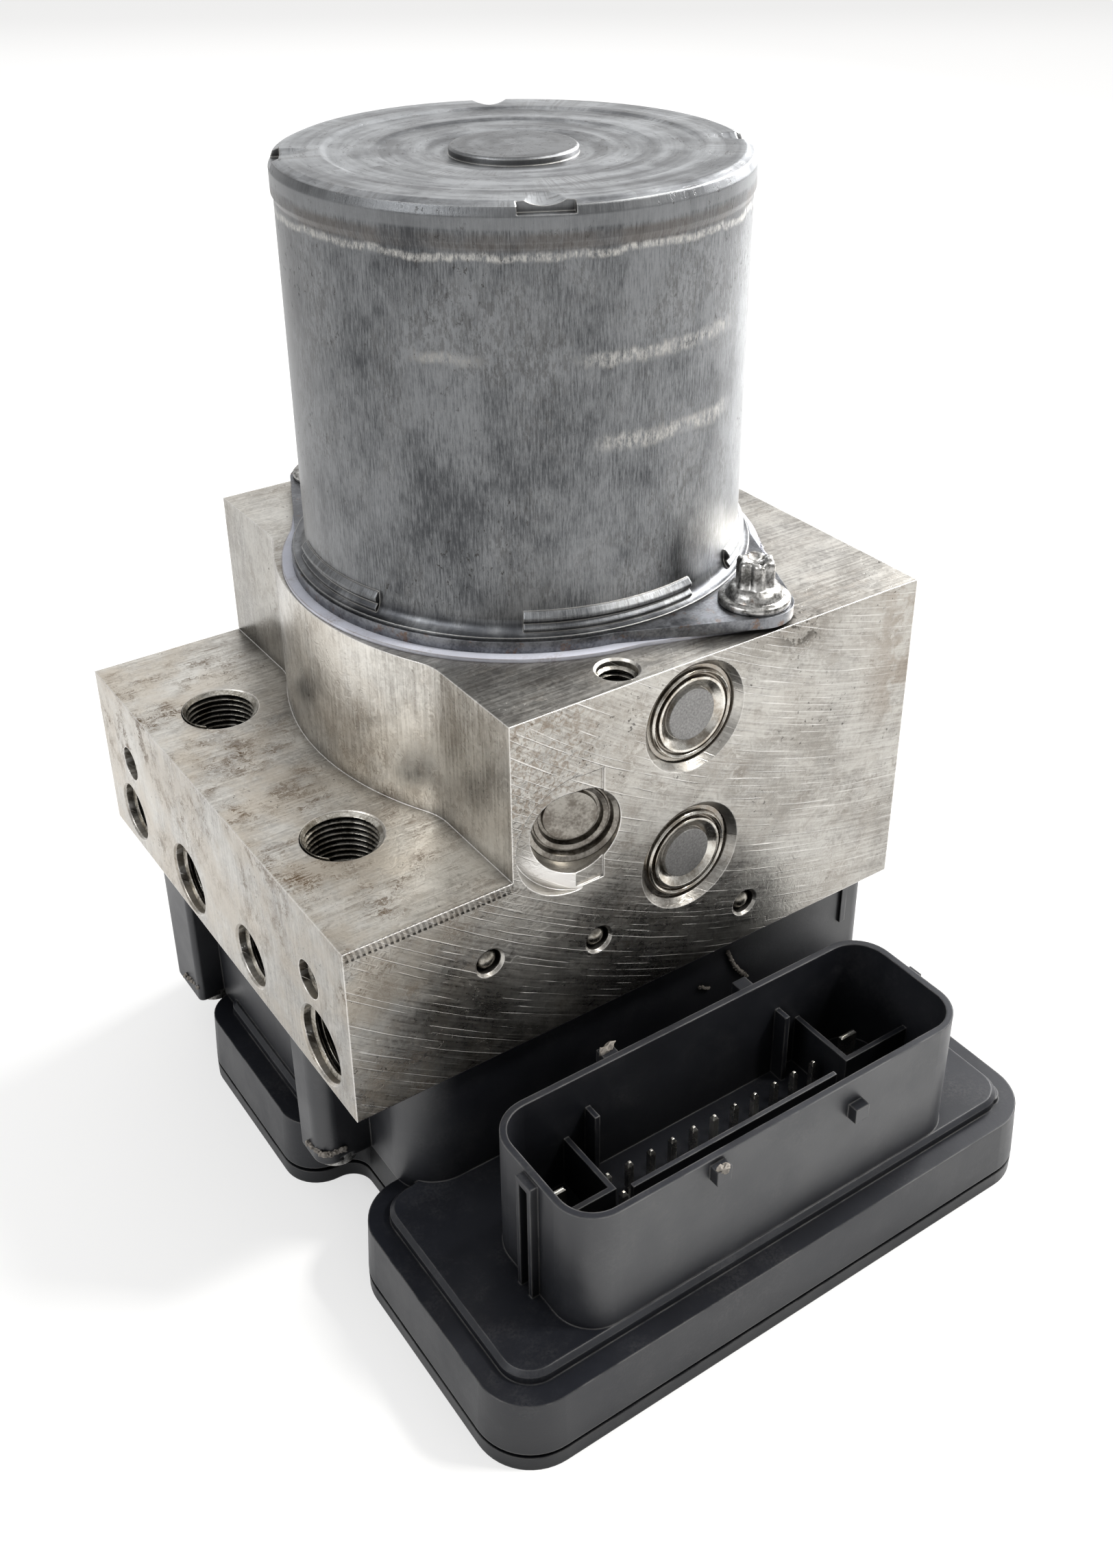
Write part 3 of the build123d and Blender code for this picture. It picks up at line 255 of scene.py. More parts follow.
def millingMarks(s, front):
    # wide arcs on the front, straight lines on the other faces, and the deeper cuts among the arcs
    look = blockLook
    dx = s.minus(s.x, look["millCentre"][0])
    dz = s.minus(s.z, look["millCentre"][1])
    reach = s.length(dx, dz, 0.0)
    turn = s.times(s.math("ARCTAN2", dx, dz), look["turnScale"])
    arcs = s.join(reach, s.times(turn, look["lineAlong"]), s.times(s.y, look["lineAcross"]))
    straight = s.join(s.times(s.x, look["otherAlong"]), s.y, s.times(s.z, look["otherAlong"]))
    lines = s.plus(s.times(s.pattern(look["arcLines"], arcs), front),
                   s.times(s.pattern(look["straightLines"], straight), s.rest(front)))
    waver = s.pattern(look["feedWaver"], s.join(reach, s.times(turn, look["waverAlong"]), 0.0))
    feed = s.plus(s.math("DIVIDE", reach, look["feed"]), s.times(waver, look["feedWander"]))
    cuts = s.span(s.apart(s.math("FRACT", feed), 0.5), *look["cutWidth"])
    broken = s.pattern(look["brokenCuts"], s.join(reach, s.times(turn, look["breakAlong"]), 0.0))
    cuts = s.times(cuts, broken, s.pattern(look["cutAreas"]), front, s.span(s.x, *look["cutsFade"]))
    return lines, cuts


def paintedFaceLight(s, front, top, rise):
    # painted light and shade: each face is lightened or darkened by the way it faces and where it stands
    look = blockLook
    frontGain = s.times(front, s.span(s.x, *look["frontGain"]))
    upperTop = s.span(s.x, *look["topGain"])
    topGain = s.times(top, s.span(rise, *look["topFade"], look["stepTopGain"], upperTop))
    portSide = s.span(rise, *look["portGain"])
    upperSide = s.span(s.y, *look["sideGain"])
    sideways = s.rest(s.math("MINIMUM", s.plus(front, top), 1.0))
    sideGain = s.times(sideways, s.span(rise, *look["sideFade"], portSide, upperSide))
    return s.plus(frontGain, topGain, sideGain)


def tornLip(s, rise, blockLow):
    # teeth left by the cutter under the step's front edge
    look = blockLook
    below = s.times(rise, -1.0)
    band = s.times(s.span(below, *look["toothFoot"]), s.span(below, *look["toothTop"]),
                   s.span(s.x, *look["lipEnd"]), s.span(s.minus(s.y, blockLow.y), *look["lipDepth"]))
    along = s.plus(s.x, s.times(s.z, look["toothLean"]))
    tooth = s.math("FRACT", s.math("DIVIDE", along, look["toothPitch"]))
    return s.times(s.span(tooth, *look["toothEdge"]), band)


def aluminium():
    look = blockLook
    s = Shader("machinedAluminium")
    blockLow, blockHigh = nodeBox("hydraulic_block")
    rise = s.minus(s.z, blockLow.z + look["stepRise"])
    front = s.span(s.math("ABSOLUTE", s.ny), *look["facing"])
    top = s.span(s.math("ABSOLUTE", s.nz), *look["facing"])
    lines, cuts = millingMarks(s, front)
    patches = s.pattern(look["patches"])
    grain = s.pattern(look["grain"])
    crumpled = s.times(s.span(s.x, *look["crumpledX"]), s.span(rise, *look["crumpledRise"]), front)
    worn = s.plus(s.pattern(look["wornAreas"]), s.times(crumpled, look["crumpledDepth"]))
    shade = s.plus(s.times(patches, look["patchShare"]), s.times(lines, look["lineShare"]),
                   s.times(grain, look["grainShare"]))
    color = s.mix(s.span(shade, *look["shadeRange"]), look["dark"], look["light"])
    # brown grime in short scratches, mostly near the edges of the step and of the port end
    nearPorts = s.span(s.minus(s.x, blockLow.x), *look["portReach"])
    warmth = s.times(s.pattern(look["warmAreas"]), s.span(nearPorts, *look["warmth"]))
    color = s.mix(warmth, color, look["warm"])
    nearEdge = s.math("MAXIMUM", s.span(s.math("ABSOLUTE", rise), *look["stepEdge"]), top)
    amount = s.plus(s.times(nearPorts, nearEdge, look["grimeShare"]), look["grimeFloor"])
    drift = s.vector("SCALE", s.join(patches, grain, lines), scale=look["scratchDrift"])
    scratchPlace = s.vector("MULTIPLY", s.vector("ADD", s.place, drift), look["scratchStretch"])
    scratches = s.pattern(look["grimeScratches"], scratchPlace)
    grime = s.times(scratches, amount, s.pattern(look["grimeAreas"]))
    color = s.mix(grime, color, look["stainAndShade"])
    pits = s.times(s.pattern(look["pits"]), s.pattern(look["pitAreas"]))
    color = s.mix(s.times(pits, look["pitShare"]), color, look["deep"])
    # painted light and shade on the faces
    color = s.vector("SCALE", color, scale=paintedFaceLight(s, front, top, rise))
    # painted shade of the crumpled patch's dents, in the stain colour
    dents = s.times(s.pattern(look["dents"]), crumpled)
    color = s.mix(s.times(dents, look["dentShare"]), color, look["stainAndShade"])
    # a dirty patch at the front's far edge, and dark spots beside the motor's ear
    fromFar = s.minus(blockHigh.x, s.x)
    farEdge = s.times(s.span(fromFar, *look["farEdge"]), s.span(rise, *look["farRise"]), front,
                      s.pattern(look["edgeDirt"]))
    color = s.mix(s.times(farEdge, look["farEdgeShare"]), color, look["stainAndShade"])
    fromEar = s.length(s.minus(s.x, look["earX"]), s.minus(s.y, blockLow.y), s.minus(s.z, blockHigh.z))
    earSpots = s.times(s.span(fromEar, *look["earReach"]), s.pattern(look["earSpots"]))
    color = s.mix(s.times(earSpots, look["earShare"]), color, look["deep"])
    color = s.mix(s.times(cuts, look["cutShare"]), color, look["scratchAndHighlight"])
    # the seat of the slanting bore was turned smooth and is clean, and it is lightened partly as a painted
    # highlight
    tilt = s.math("ABSOLUTE", s.ny)
    belowMiddle = s.minus(s.z, blockHigh.z - look["seatDrop"])
    seat = s.times(s.span(tilt, *look["seatFacing"][0]), s.span(tilt, *look["seatFacing"][1]),
                   s.span(belowMiddle, *look["seatFade"]))
    color = s.mix(s.times(seat, look["seatShare"]), color, look["scratchAndHighlight"])
    tooth = tornLip(s, rise, blockLow)
    color = s.mix(s.times(tooth, look["toothShare"]), color, look["deep"])
    # painted shade in pockets and closed corners, in the deep colour
    recessShade = s.rest(s.recess(look["recessShadeReach"]))
    color = s.mix(s.times(recessShade, look["recessShadeShare"]), color, look["deep"])
    # painted highlight along the sharp edges, with their wear, in the scratch colour
    color = s.mix(s.times(s.edgeMask(look["edgeWidth"]), look["edgeShare"]), color, look["scratchAndHighlight"])
    rough = s.plus(s.span(shade, *look["roughness"]), s.times(grime, look["grimeRough"]),
                   s.times(top, look["topRough"]))
    normal = s.bump(lines, look["lineDepth"], s.roundEdge(look["edgeRadius"]))
    normal = s.bump(s.times(grain, s.plus(worn, look["grainBase"])), look["grainDepth"], normal)
    normal = s.bump(s.minus(cuts, pits), look["cutDepth"], normal)
    normal = s.bump(tooth, look["toothDepth"], normal)
    return s.finish(color, 1.0, rough, normal)


# drawn steel of the motor casing
casingLook = {
    "light": (0.255, 0.262, 0.270), "dark": (0.064, 0.0665, 0.071), "scuffAndHighlight": (0.62, 0.605, 0.57),
    "speckAndShade": (0.05, 0.045, 0.04), "brown": (0.085, 0.068, 0.055), "foot": (0.04, 0.042, 0.048),
    # noise patterns
    "streak": {"size": 0.26, "detail": 5, "roughness": 0.8},
    "hatch": {"size": 0.5, "detail": 5, "roughness": 0.78, "seed": 6.0},
    "wide": {"size": 9.0, "detail": 6, "roughness": 0.66, "seed": 2.0},
    "rings": {"size": 2.6, "detail": 4, "roughness": 0.6},
    "cloud": {"size": 15.0, "detail": 7, "roughness": 0.7, "seed": 5.0},
    "marks": {"size": 1.1, "detail": 4, "roughness": 0.8, "seed": 11.0, "range": (0.58, 0.66)},
    "markAreas": {"size": 15.0, "detail": 4, "seed": 13.0, "range": (0.42, 0.60)},
    "topMarks": {"size": 0.9, "detail": 4, "roughness": 0.8, "seed": 17.0, "range": (0.56, 0.66)},
    "footAreas": {"size": 5.0, "detail": 4, "seed": 19.0, "range": (0.25, 0.6)},
    # millimetres of pattern for each degree round, and how far it is drawn out by height
    "perDegree": 0.6, "ringTurn": 0.03, "topMarkTurn": 0.12,
    "streakHeight": 0.09, "hatchHeight": 0.34, "wideHeight": 0.5, "markHeight": 0.6,
    "topFacing": (0.5, 0.9), "grainShare": 0.42, "wideShare": 0.30, "cloudShare": 0.28,
    "shadeRange": (0.40, 0.585), "patchCloud": (0.48, 0.60), "patchHatch": (0.46, 0.56),
    "patchShare": 0.38,
    # the smooth end of the casing and the brown zone under it
    "capHeight": 3.6, "capEdge": 0.5, "capDarker": 0.8, "capShare": 0.65,
    "brownMiddle": 5.0, "brownWidth": (1.6, 0.7), "brownStrength": (0.35, 0.6, 0.1, 0.55),
    # height below the top, half width, strength, and the angles between which it shows
    "bands": ((6.9, 0.75, 0.8, -360, 360), (20.6, 1.2, 0.5, -150, -128),
              (21.0, 1.5, 0.6, -112, -60), (33.0, 1.8, 0.6, -108, -60)),
    "bandWaver": (0.3, 0.7, -0.5, 0.5), "bandHatch": (0.36, 0.66), "bandFade": 8,
    "topMarkShare": 0.6, "markShare": 0.7, "footRise": (3.4, 1.2), "footShare": 0.8,
    "recessShadeReach": 4.0, "recessShadeShare": 0.8, "edgeWidth": 0.3, "edgeShare": 0.45,
    # painted light by place: the wall lighter towards the right and the top lighter; the button is made
    # darker
    "topGain": 1.5, "wallGain": (10.0, 33.0, 0.86, 2.1), "buttonRim": (9.4, 9.0), "buttonGain": 0.62,
    "roughness": (0.36, 0.64, 0.30, 0.46), "markRough": 0.2, "edgeRadius": 0.4, "grainDepth": 0.024,
    "cloudHeight": 0.6, "markDrop": -0.25, "cloudDepth": 0.10}


def scuffBands(s, color, angle, wall, wide, hatch):
    # pale bands scraped round the wall
    look = casingLook
    high = nodeBox("motor_casing")[1]
    down = s.plus(s.minus(high.z, s.z), s.span(wide, *look["bandWaver"]))
    for depth, half, amount, first, last in look["bands"]:
        band = s.times(s.span(s.apart(down, depth), half, half * 0.2), amount,
                       s.span(hatch, *look["bandHatch"]))
        if first > -360:
            band = s.times(band, s.span(angle, first, first + look["bandFade"]),
                           s.span(angle, last, last - look["bandFade"]))
        color = s.mix(s.times(band, wall), color, look["scuffAndHighlight"])
    return color


def drawnSteel():
    look = casingLook
    s = Shader("drawnSteel")
    low, high = nodeBox("motor_casing")
    radius = s.length(s.x, s.y, 0.0)
    angle = s.times(s.math("ARCTAN2", s.y, s.x), 180 / math.pi)
    along = s.times(angle, look["perDegree"])
    top = s.span(s.nz, *look["topFacing"])
    wall = s.rest(top)
    down = s.minus(high.z, s.z)
    streak = s.pattern(look["streak"], s.join(along, 0.0, s.times(s.z, look["streakHeight"])))
    hatch = s.pattern(look["hatch"], s.join(along, 0.0, s.times(s.z, look["hatchHeight"])))
    wide = s.pattern(look["wide"], s.join(s.x, s.y, s.times(s.z, look["wideHeight"])))
    rings = s.pattern(look["rings"], s.join(radius, s.times(angle, look["ringTurn"]), 0.0))
    cloud = s.pattern(look["cloud"])
    grain = s.plus(s.times(streak, wall), s.times(rings, top))
    shade = s.plus(s.times(grain, look["grainShare"]), s.times(wide, look["wideShare"]),
                   s.times(cloud, look["cloudShare"]))
    color = s.mix(s.span(shade, *look["shadeRange"]), look["dark"], look["light"])
    patch = s.times(s.span(cloud, *look["patchCloud"]), s.span(hatch, *look["patchHatch"]))
    color = s.mix(s.times(patch, look["patchShare"]), color, look["speckAndShade"])
    # the end of the casing above the first band was rolled smooth, with a brown zone under it
    cap = s.times(s.span(down, look["capHeight"], look["capHeight"] - look["capEdge"]), wall)
    capColor = s.mix(s.span(cloud, *narrowRange), [c * look["capDarker"] for c in look["light"]],
                     look["light"])
    color = s.mix(s.times(cap, look["capShare"]), color, capColor)
    under = s.times(s.span(s.apart(down, look["brownMiddle"]), *look["brownWidth"]), wall,
                    s.span(wide, *look["brownStrength"]))
    color = s.mix(under, color, look["brown"])
    color = scuffBands(s, color, angle, wall, wide, hatch)
    # dark specks, the foot darker in patches, and painted shade in the closed corners
    marks = s.pattern(look["marks"], s.join(along, 0.0, s.times(s.z, look["markHeight"])))
    topMarks = s.pattern(look["topMarks"], s.join(radius, s.times(angle, look["topMarkTurn"]), 0.0))
    marks = s.plus(s.times(marks, s.pattern(look["markAreas"]), wall),
                   s.times(topMarks, top, look["topMarkShare"]))
    color = s.mix(s.times(marks, look["markShare"]), color, look["speckAndShade"])
    foot = s.times(s.span(s.minus(s.z, low.z), *look["footRise"]), s.pattern(look["footAreas"]))
    color = s.mix(s.times(foot, look["footShare"]), color, look["foot"])
    # painted shade in the closed corners, in the speck colour
    recessShade = s.rest(s.recess(look["recessShadeReach"]))
    color = s.mix(s.times(recessShade, look["recessShadeShare"]), color, look["speckAndShade"])
    # painted highlight along the sharp edges, with their wear, in the scuff colour
    color = s.mix(s.times(s.edgeMask(look["edgeWidth"]), look["edgeShare"]), color, look["scuffAndHighlight"])
    # painted light: the wall lightened towards the right and the top lightened; the button darkened
    button = s.span(radius, *look["buttonRim"], 1.0, look["buttonGain"])
    gain = s.plus(s.times(wall, s.span(s.x, *look["wallGain"])), s.times(top, look["topGain"]))
    color = s.vector("SCALE", color, scale=s.times(gain, button))
    rough = s.plus(s.span(shade, *look["roughness"]), s.times(marks, look["markRough"]))
    normal = s.bump(grain, look["grainDepth"], s.roundEdge(look["edgeRadius"]))
    relief = s.plus(s.times(cloud, look["cloudHeight"]), s.times(marks, look["markDrop"]))
    return s.finish(color, 1.0, rough, s.bump(relief, look["cloudDepth"], normal))


# plain metals; deep paints shade on what lies deeper in a hole than this
steelLook = {
    "cloudShare": 0.7, "grainShare": 0.3, "shadeRange": (0.38, 0.62),
    "grain": {"size": 0.4, "detail": 3, "seed": 3.0},
    "rustSpots": {"size": 2.6, "detail": 6, "roughness": 0.75, "seed": 8.0},
    "rustRange": (0.56, 0.66), "hole": (0.008, 0.007, 0.006), "grainDepth": 0.01, "edgeRadius": 0.15}


def steel(name, light, dark, size=6.0, rough=(0.25, 0.42), rust=None, rustShare=0.0, deep=0.0):
    look = steelLook
    s = Shader(name)
    cloud = s.pattern({"size": size, "detail": 6, "roughness": 0.65})
    grain = s.pattern(look["grain"])
    shade = s.plus(s.times(cloud, look["cloudShare"]), s.times(grain, look["grainShare"]))
    color = s.mix(s.span(shade, *look["shadeRange"]), dark, light)
    if rust is not None:
        spots = s.span(s.pattern(look["rustSpots"]), *look["rustRange"], 0.0, rustShare)
        color = s.mix(spots, color, rust)
    # painted shade deeper in the hole
    if deep:
        color = s.mix(s.recess(deep), look["hole"], color)
    normal = s.bump(grain, look["grainDepth"], s.roundEdge(look["edgeRadius"]))
    return s.finish(color, 1.0, s.span(cloud, *broadRange, *rough), normal)


# moulded pieces, with dust in patches, and dust with a painted highlight along their edges
plasticLook = {
    "cloud": {"size": 18.0, "detail": 6, "roughness": 0.65},
    "fine": {"size": 0.45, "detail": 3, "roughness": 0.7, "seed": 6.0},
    "dustAreas": {"size": 9.0, "detail": 7, "roughness": 0.72, "seed": 2.0, "range": (0.46, 0.72)},
    "edgeAreas": {"size": 5.0, "detail": 4, "seed": 33.0}, "edgeStrength": (0.35, 0.6, 0.2, 0.75),
    "dustFine": (0.35, 0.62), "lighter": 1.35, "edgeWidth": 0.45, "edgeRadius": 0.35,
    # painted shade darkens the closed corners, down to a share, in colour and in shine, and the walls shine
    # more the higher they stand
    "recessShadeReach": 16.0, "deepest": 0.2, "deep": (0.002, 0.002, 0.002), "topShine": 0.2,
    "wallShine": (12.0, 17.0, 0.42, 0.8), "fineDepth": 0.012}


def plastic(name, base, dustAndHighlight, dustShare, rough=(0.36, 0.5)):
    look = plasticLook
    s = Shader(name)
    cloud = s.pattern(look["cloud"])
    fine = s.pattern(look["fine"])
    color = s.mix(s.span(cloud, *broadRange), base, [c * look["lighter"] for c in base])
    settled = s.times(s.pattern(look["dustAreas"]), s.span(fine, *look["dustFine"]))
    color = s.mix(s.times(settled, dustShare), color, dustAndHighlight)
    # the edges get dust and a painted highlight, in the dust colour
    edgeAreas = s.span(s.pattern(look["edgeAreas"]), *look["edgeStrength"])
    edge = s.times(s.edgeMask(look["edgeWidth"]), edgeAreas)
    color = s.mix(edge, color, dustAndHighlight)
    # painted shade in the closed corners, in colour and in the shine
    free = s.plus(s.times(s.recess(look["recessShadeReach"]), 1 - look["deepest"]), look["deepest"])
    color = s.mix(free, look["deep"], color)
    shine = s.span(s.nz, 0.5, 0.9, s.span(s.z, *look["wallShine"]), look["topShine"])
    normal = s.bump(fine, look["fineDepth"], s.roundEdge(look["edgeRadius"]))
    return s.finish(color, 0.0, s.span(cloud, *broadRange, *rough), normal, s.times(shine, free))


# closing plugs: dull middle disc, bright ring round it and dirt in the groove
plugLook = {
    "disc": (0.21, 0.207, 0.203), "light": (0.70, 0.68, 0.63), "dark": (0.33, 0.29, 0.24),
    "dirt": (0.09, 0.068, 0.048), "cloud": {"size": 3.0, "detail": 6, "roughness": 0.7},
    "fine": {"size": 0.35, "detail": 3, "seed": 4.0}, "discRadius": 4.15, "grooveRadii": (6.15, 6.55),
    "rimRadii": (7.1, 7.4), "rimShare": 0.8, "dirtStrength": (0.2, 0.6, 0.3, 0.75),
    "roughness": (*broadRange, 0.18, 0.3), "discRough": 0.22, "fineDepth": 0.01, "edgeRadius": 0.18}


def plugSteel():
    look = plugLook
    s = Shader("plugSteel")
    radius = None
    for name in ("pump_plugs", "accumulator_plugs"):
        low, high = nodeBox(name)
        here = s.length(s.x, s.minus(s.z, (low.z + high.z) / 2), 0.0)
        radius = here if radius is None else s.math("MINIMUM", radius, here)
    cloud = s.pattern(look["cloud"])
    fine = s.pattern(look["fine"])
    color = s.mix(s.span(cloud, *narrowRange), look["dark"], look["light"])
    disc = s.span(radius, look["discRadius"] + 0.1, look["discRadius"])
    discColor = s.mix(s.span(fine, *broadRange), [c * 0.8 for c in look["disc"]],
                      [c * 1.25 for c in look["disc"]])
    color = s.mix(disc, color, discColor)
    inner, outer = look["grooveRadii"]
    groove = s.times(s.span(radius, inner - 0.15, inner + 0.05), s.span(radius, outer + 0.15, outer - 0.05))
    rim = s.times(s.span(radius, *look["rimRadii"]), look["rimShare"])
    dirt = s.times(s.math("MAXIMUM", groove, rim), s.span(cloud, *look["dirtStrength"]))
    color = s.mix(dirt, color, look["dirt"])
    rough = s.plus(s.span(cloud, *look["roughness"]), s.times(disc, look["discRough"]))
    normal = s.bump(fine, look["fineDepth"], s.roundEdge(look["edgeRadius"]))
    return s.finish(color, 1.0, rough, normal)


blackPlastic = ((0.0076, 0.0084, 0.0115), (0.17, 0.165, 0.16), 0.10)   # colour, dust and edge highlight colour, and the dust's share
looks = {
    "block_aluminium": aluminium(),
    "casing_steel": drawnSteel(),
    "plug_steel": plugSteel(),
    "damper_steel": steel("damperSteel", (0.36, 0.34, 0.305), (0.14, 0.125, 0.108), size=3.0,
                          rough=(0.28, 0.42)),
    "flange_steel": steel("flangeSteel", (0.23, 0.236, 0.25), (0.10, 0.103, 0.112), size=4.0,
                          rough=(0.3, 0.45), rust=(0.16, 0.085, 0.045), rustShare=0.6),
    "bright_steel": steel("brightSteel", (0.92, 0.92, 0.91), (0.62, 0.61, 0.60), rough=(0.18, 0.3)),
    "gasket_paper": plastic("gasketPaper", (0.50, 0.51, 0.57), (0.20, 0.14, 0.095), 0.55, (0.6, 0.8)),
    "zinc_steel": steel("zincSteel", (0.56, 0.55, 0.53), (0.12, 0.116, 0.108), size=2.2,
                        rust=(0.20, 0.10, 0.05), rustShare=0.3),
    "core_steel": steel("coreSteel", (0.24, 0.24, 0.25), (0.12, 0.12, 0.13)),
    "copper": steel("copper", (0.80, 0.45, 0.28), (0.55, 0.28, 0.16)),
    "inner_plastic": plastic("innerPlastic", (0.09, 0.085, 0.08), (0.2, 0.19, 0.18), 0.2),
    "carbon": plastic("carbon", (0.04, 0.04, 0.042), (0.1, 0.1, 0.1), 0.2),
    "spring_steel": steel("springSteel", (0.6, 0.6, 0.6), (0.35, 0.35, 0.36)),
    "piston_aluminium": steel("pistonAluminium", (0.72, 0.72, 0.72), (0.5, 0.5, 0.5)),
    "seal_rubber": plastic("sealRubber", (0.012, 0.012, 0.012), (0.05, 0.05, 0.05), 0.3, (0.5, 0.7)),
    "valve_steel": steel("valveSteel", (0.55, 0.55, 0.56), (0.32, 0.32, 0.33)),
    "contact_tin": steel("contactTin", (0.80, 0.78, 0.72), (0.5, 0.48, 0.44), rough=(0.2, 0.34)),
    "housing_plastic": plastic("housingPlastic", *blackPlastic),
    "cover_plastic": plastic("coverPlastic", *blackPlastic),
    "thread_metal": steel("threadMetal", (0.62, 0.595, 0.54), (0.22, 0.20, 0.165), size=3.0,
                          rough=(0.2, 0.34), deep=9.0),
    "ball_steel": steel("ballSteel", (0.40, 0.38, 0.34), (0.17, 0.155, 0.13), size=1.6,
                        rough=(0.22, 0.36), deep=3.0),
    "torn_gasket": plastic("tornGasket", (0.50, 0.51, 0.60), (0.75, 0.75, 0.80), 0.6, (0.5, 0.7)),
    "torn_plastic": plastic("tornPlastic", (0.12, 0.108, 0.095), (0.42, 0.38, 0.33), 0.6, (0.6, 0.8)),
    "board_laminate": plastic("boardLaminate", (0.02, 0.12, 0.06), (0.1, 0.2, 0.12), 0.1),
    "chip_resin": plastic("chipResin", (0.02, 0.02, 0.022), (0.08, 0.08, 0.08), 0.1),
}
# nodes whose look differs from that of their slot
ownLooks = {"damper_plugs": "damper_steel", "motor_flange": "flange_steel", "sealing_balls": "ball_steel"}
slotOf = {part["node"]: part["material_slot"] for part in frame["record"]["subparts"]}
for name, node in cadNodes.items():
    for slot in node.material_slots:
        slot.material = looks[ownLooks.get(name, slotOf[name])]
print("materials given to", len(slotOf), "nodes")


def meshPiece(name, shape, look, body="module", smooth=False):
    # the object for a finished bmesh in millimetres, at the origin, riding on the body
    bmesh.ops.scale(shape, vec=(mm, mm, mm), verts=shape.verts)
    bmesh.ops.recalc_face_normals(shape, faces=shape.faces)
    mesh = bpy.data.meshes.new(name)
    shape.to_mesh(mesh)
    shape.free()
    piece = bpy.data.objects.new(name, mesh)
    bpy.context.scene.collection.objects.link(piece)
    mesh.materials.append(looks[look])
    for face in mesh.polygons:
        face.use_smooth = smooth
    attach(piece, body)
    return piece


# thread turns in the ports and the mounting holes
threads = {"pitch": 1.0, "depth": 0.62, "smallDepth": 0.5, "smallRadius": 4, "startIn": 0.9, "endShort": 1.0,
           # half height of a ridge at its crest and at its root, in pitches, and its sinking into the wall
           "crest": 0.06, "root": 0.47, "sunk": 0.12, "steps": 36, "fadeTurns": 0.4, "fadeShare": 0.95}


def threadRidge(shape, mouth, inward, radius, depth, length):
    # one ridge wound down the wall of a hole; it runs out into the wall at both ends
    pitch, steps, crest, root = (threads[key] for key in ("pitch", "steps", "crest", "root"))
    side = inward.orthogonal().normalized()
    outer, inner = radius + threads["sunk"], radius - depth
    section = ((outer, -root), (inner, -crest), (inner, crest), (outer, root))
    corners = [shape.verts.new(mouth + side * out + inward * along * pitch) for out, along in section]
    sides = [shape.edges.new((corners[i], corners[(i + 1) % 4])) for i in range(4)]
    shape.faces.new(corners)
    turns = length / pitch
    wound = bmesh.ops.spin(shape, geom=corners + sides, cent=mouth, axis=inward, dvec=inward * pitch / steps,
                           angle=2 * math.pi * turns, steps=int(turns * steps), use_merge=False)
    lastCorners = [item for item in wound["geom_last"] if isinstance(item, bmesh.types.BMVert)]
    bmesh.ops.contextual_create(shape, geom=lastCorners)
    for vert in set(v for v in shape.verts if (v.co - mouth).cross(inward).length < radius - 0.01):
        along = (vert.co - mouth).dot(inward)
        ending = max(0.0, min(along, length - along)) / pitch
        if ending < threads["fadeTurns"]:
            outward = (vert.co - mouth - inward * along).normalized()
            vert.co += outward * depth * threads["fadeShare"] * (1 - ending / threads["fadeTurns"])


def addThreads():
    mounts = [mount for mount in frame["record"]["mounts"] if mount["kind"] == "threaded_hole"]
    for mount in mounts:
        inward = -Vector(mount["axis"])
        length = mount["dims"]["length_mm"]
        radius = mount["dims"]["r_mm"]
        mouth = Vector(mount["pos_m"]) / mm - inward * length / 2
        depth = threads["depth"] if radius > threads["smallRadius"] else threads["smallDepth"]
        shape = bmesh.new()
        threadRidge(shape, mouth + inward * threads["startIn"], inward, radius, depth,
                    length - threads["startIn"] - threads["endShort"])
        meshPiece("thread_" + mount["name"], shape, "thread_metal")


addThreads()
print("threads made")

# worn star-headed bolts with their collars
boltLook = {"headRadius": 3.0, "rootRadius": 2.35, "headHeight": 4.2, "collarRadius": 4.3,
            "collarHeight": 1.6, "washerRadius": 5.4, "washerHeight": 1.1, "points": 6, "steps": 96,
            "lobePower": 0.65,
            # wear of the head's upper edge: how deep it starts, its patches, and its reach in and down
            "wearStart": 0.8, "wearPatches": 2.2, "wearIn": 0.25, "wearDown": 0.9}


def boltPlaces():
    low, high = nodeBox("motor_bolts")
    flangeTop = nodeBox("motor_flange")[1].z
    middleX = (low.x + high.x) / 2
    reachX = (high.x - low.x) / 2 - boltLook["washerRadius"]
    reachY = (high.y - low.y) / 2 - boltLook["washerRadius"]
    return [Vector((middleX + side * reachX, -side * reachY, flangeTop)) for side in (1, -1)]


def boltOutline():
    # radius, height and share of the star's shape, from the washer's rim up and into the hollow of the head
    washer, collar, top = boltLook["washerRadius"], boltLook["collarRadius"], boltLook["washerHeight"]
    star = boltLook["headRadius"]
    neck = top + boltLook["collarHeight"]
    head = neck + boltLook["headHeight"]
    return head, ((washer, 0.15, 0), (washer, top - 0.35, 0), (washer - 0.35, top, 0),
                  (collar + 0.15, top + 0.02, 0), (collar, top + 0.15, 0), (collar - 0.1, top + 0.7, 0),
                  (collar - 0.7, neck - 0.1, 0), (star + 0.2, neck, 0.3), (star, neck + 0.2, 1),
                  (star, head - 0.7, 1), (star - 0.15, head - 0.3, 1), (star - 0.6, head, 0.8),
                  (star - 1.2, head - 0.12, 0.4), (star - 1.6, head - 0.5, 0), (0.05, head - 0.6, 0))


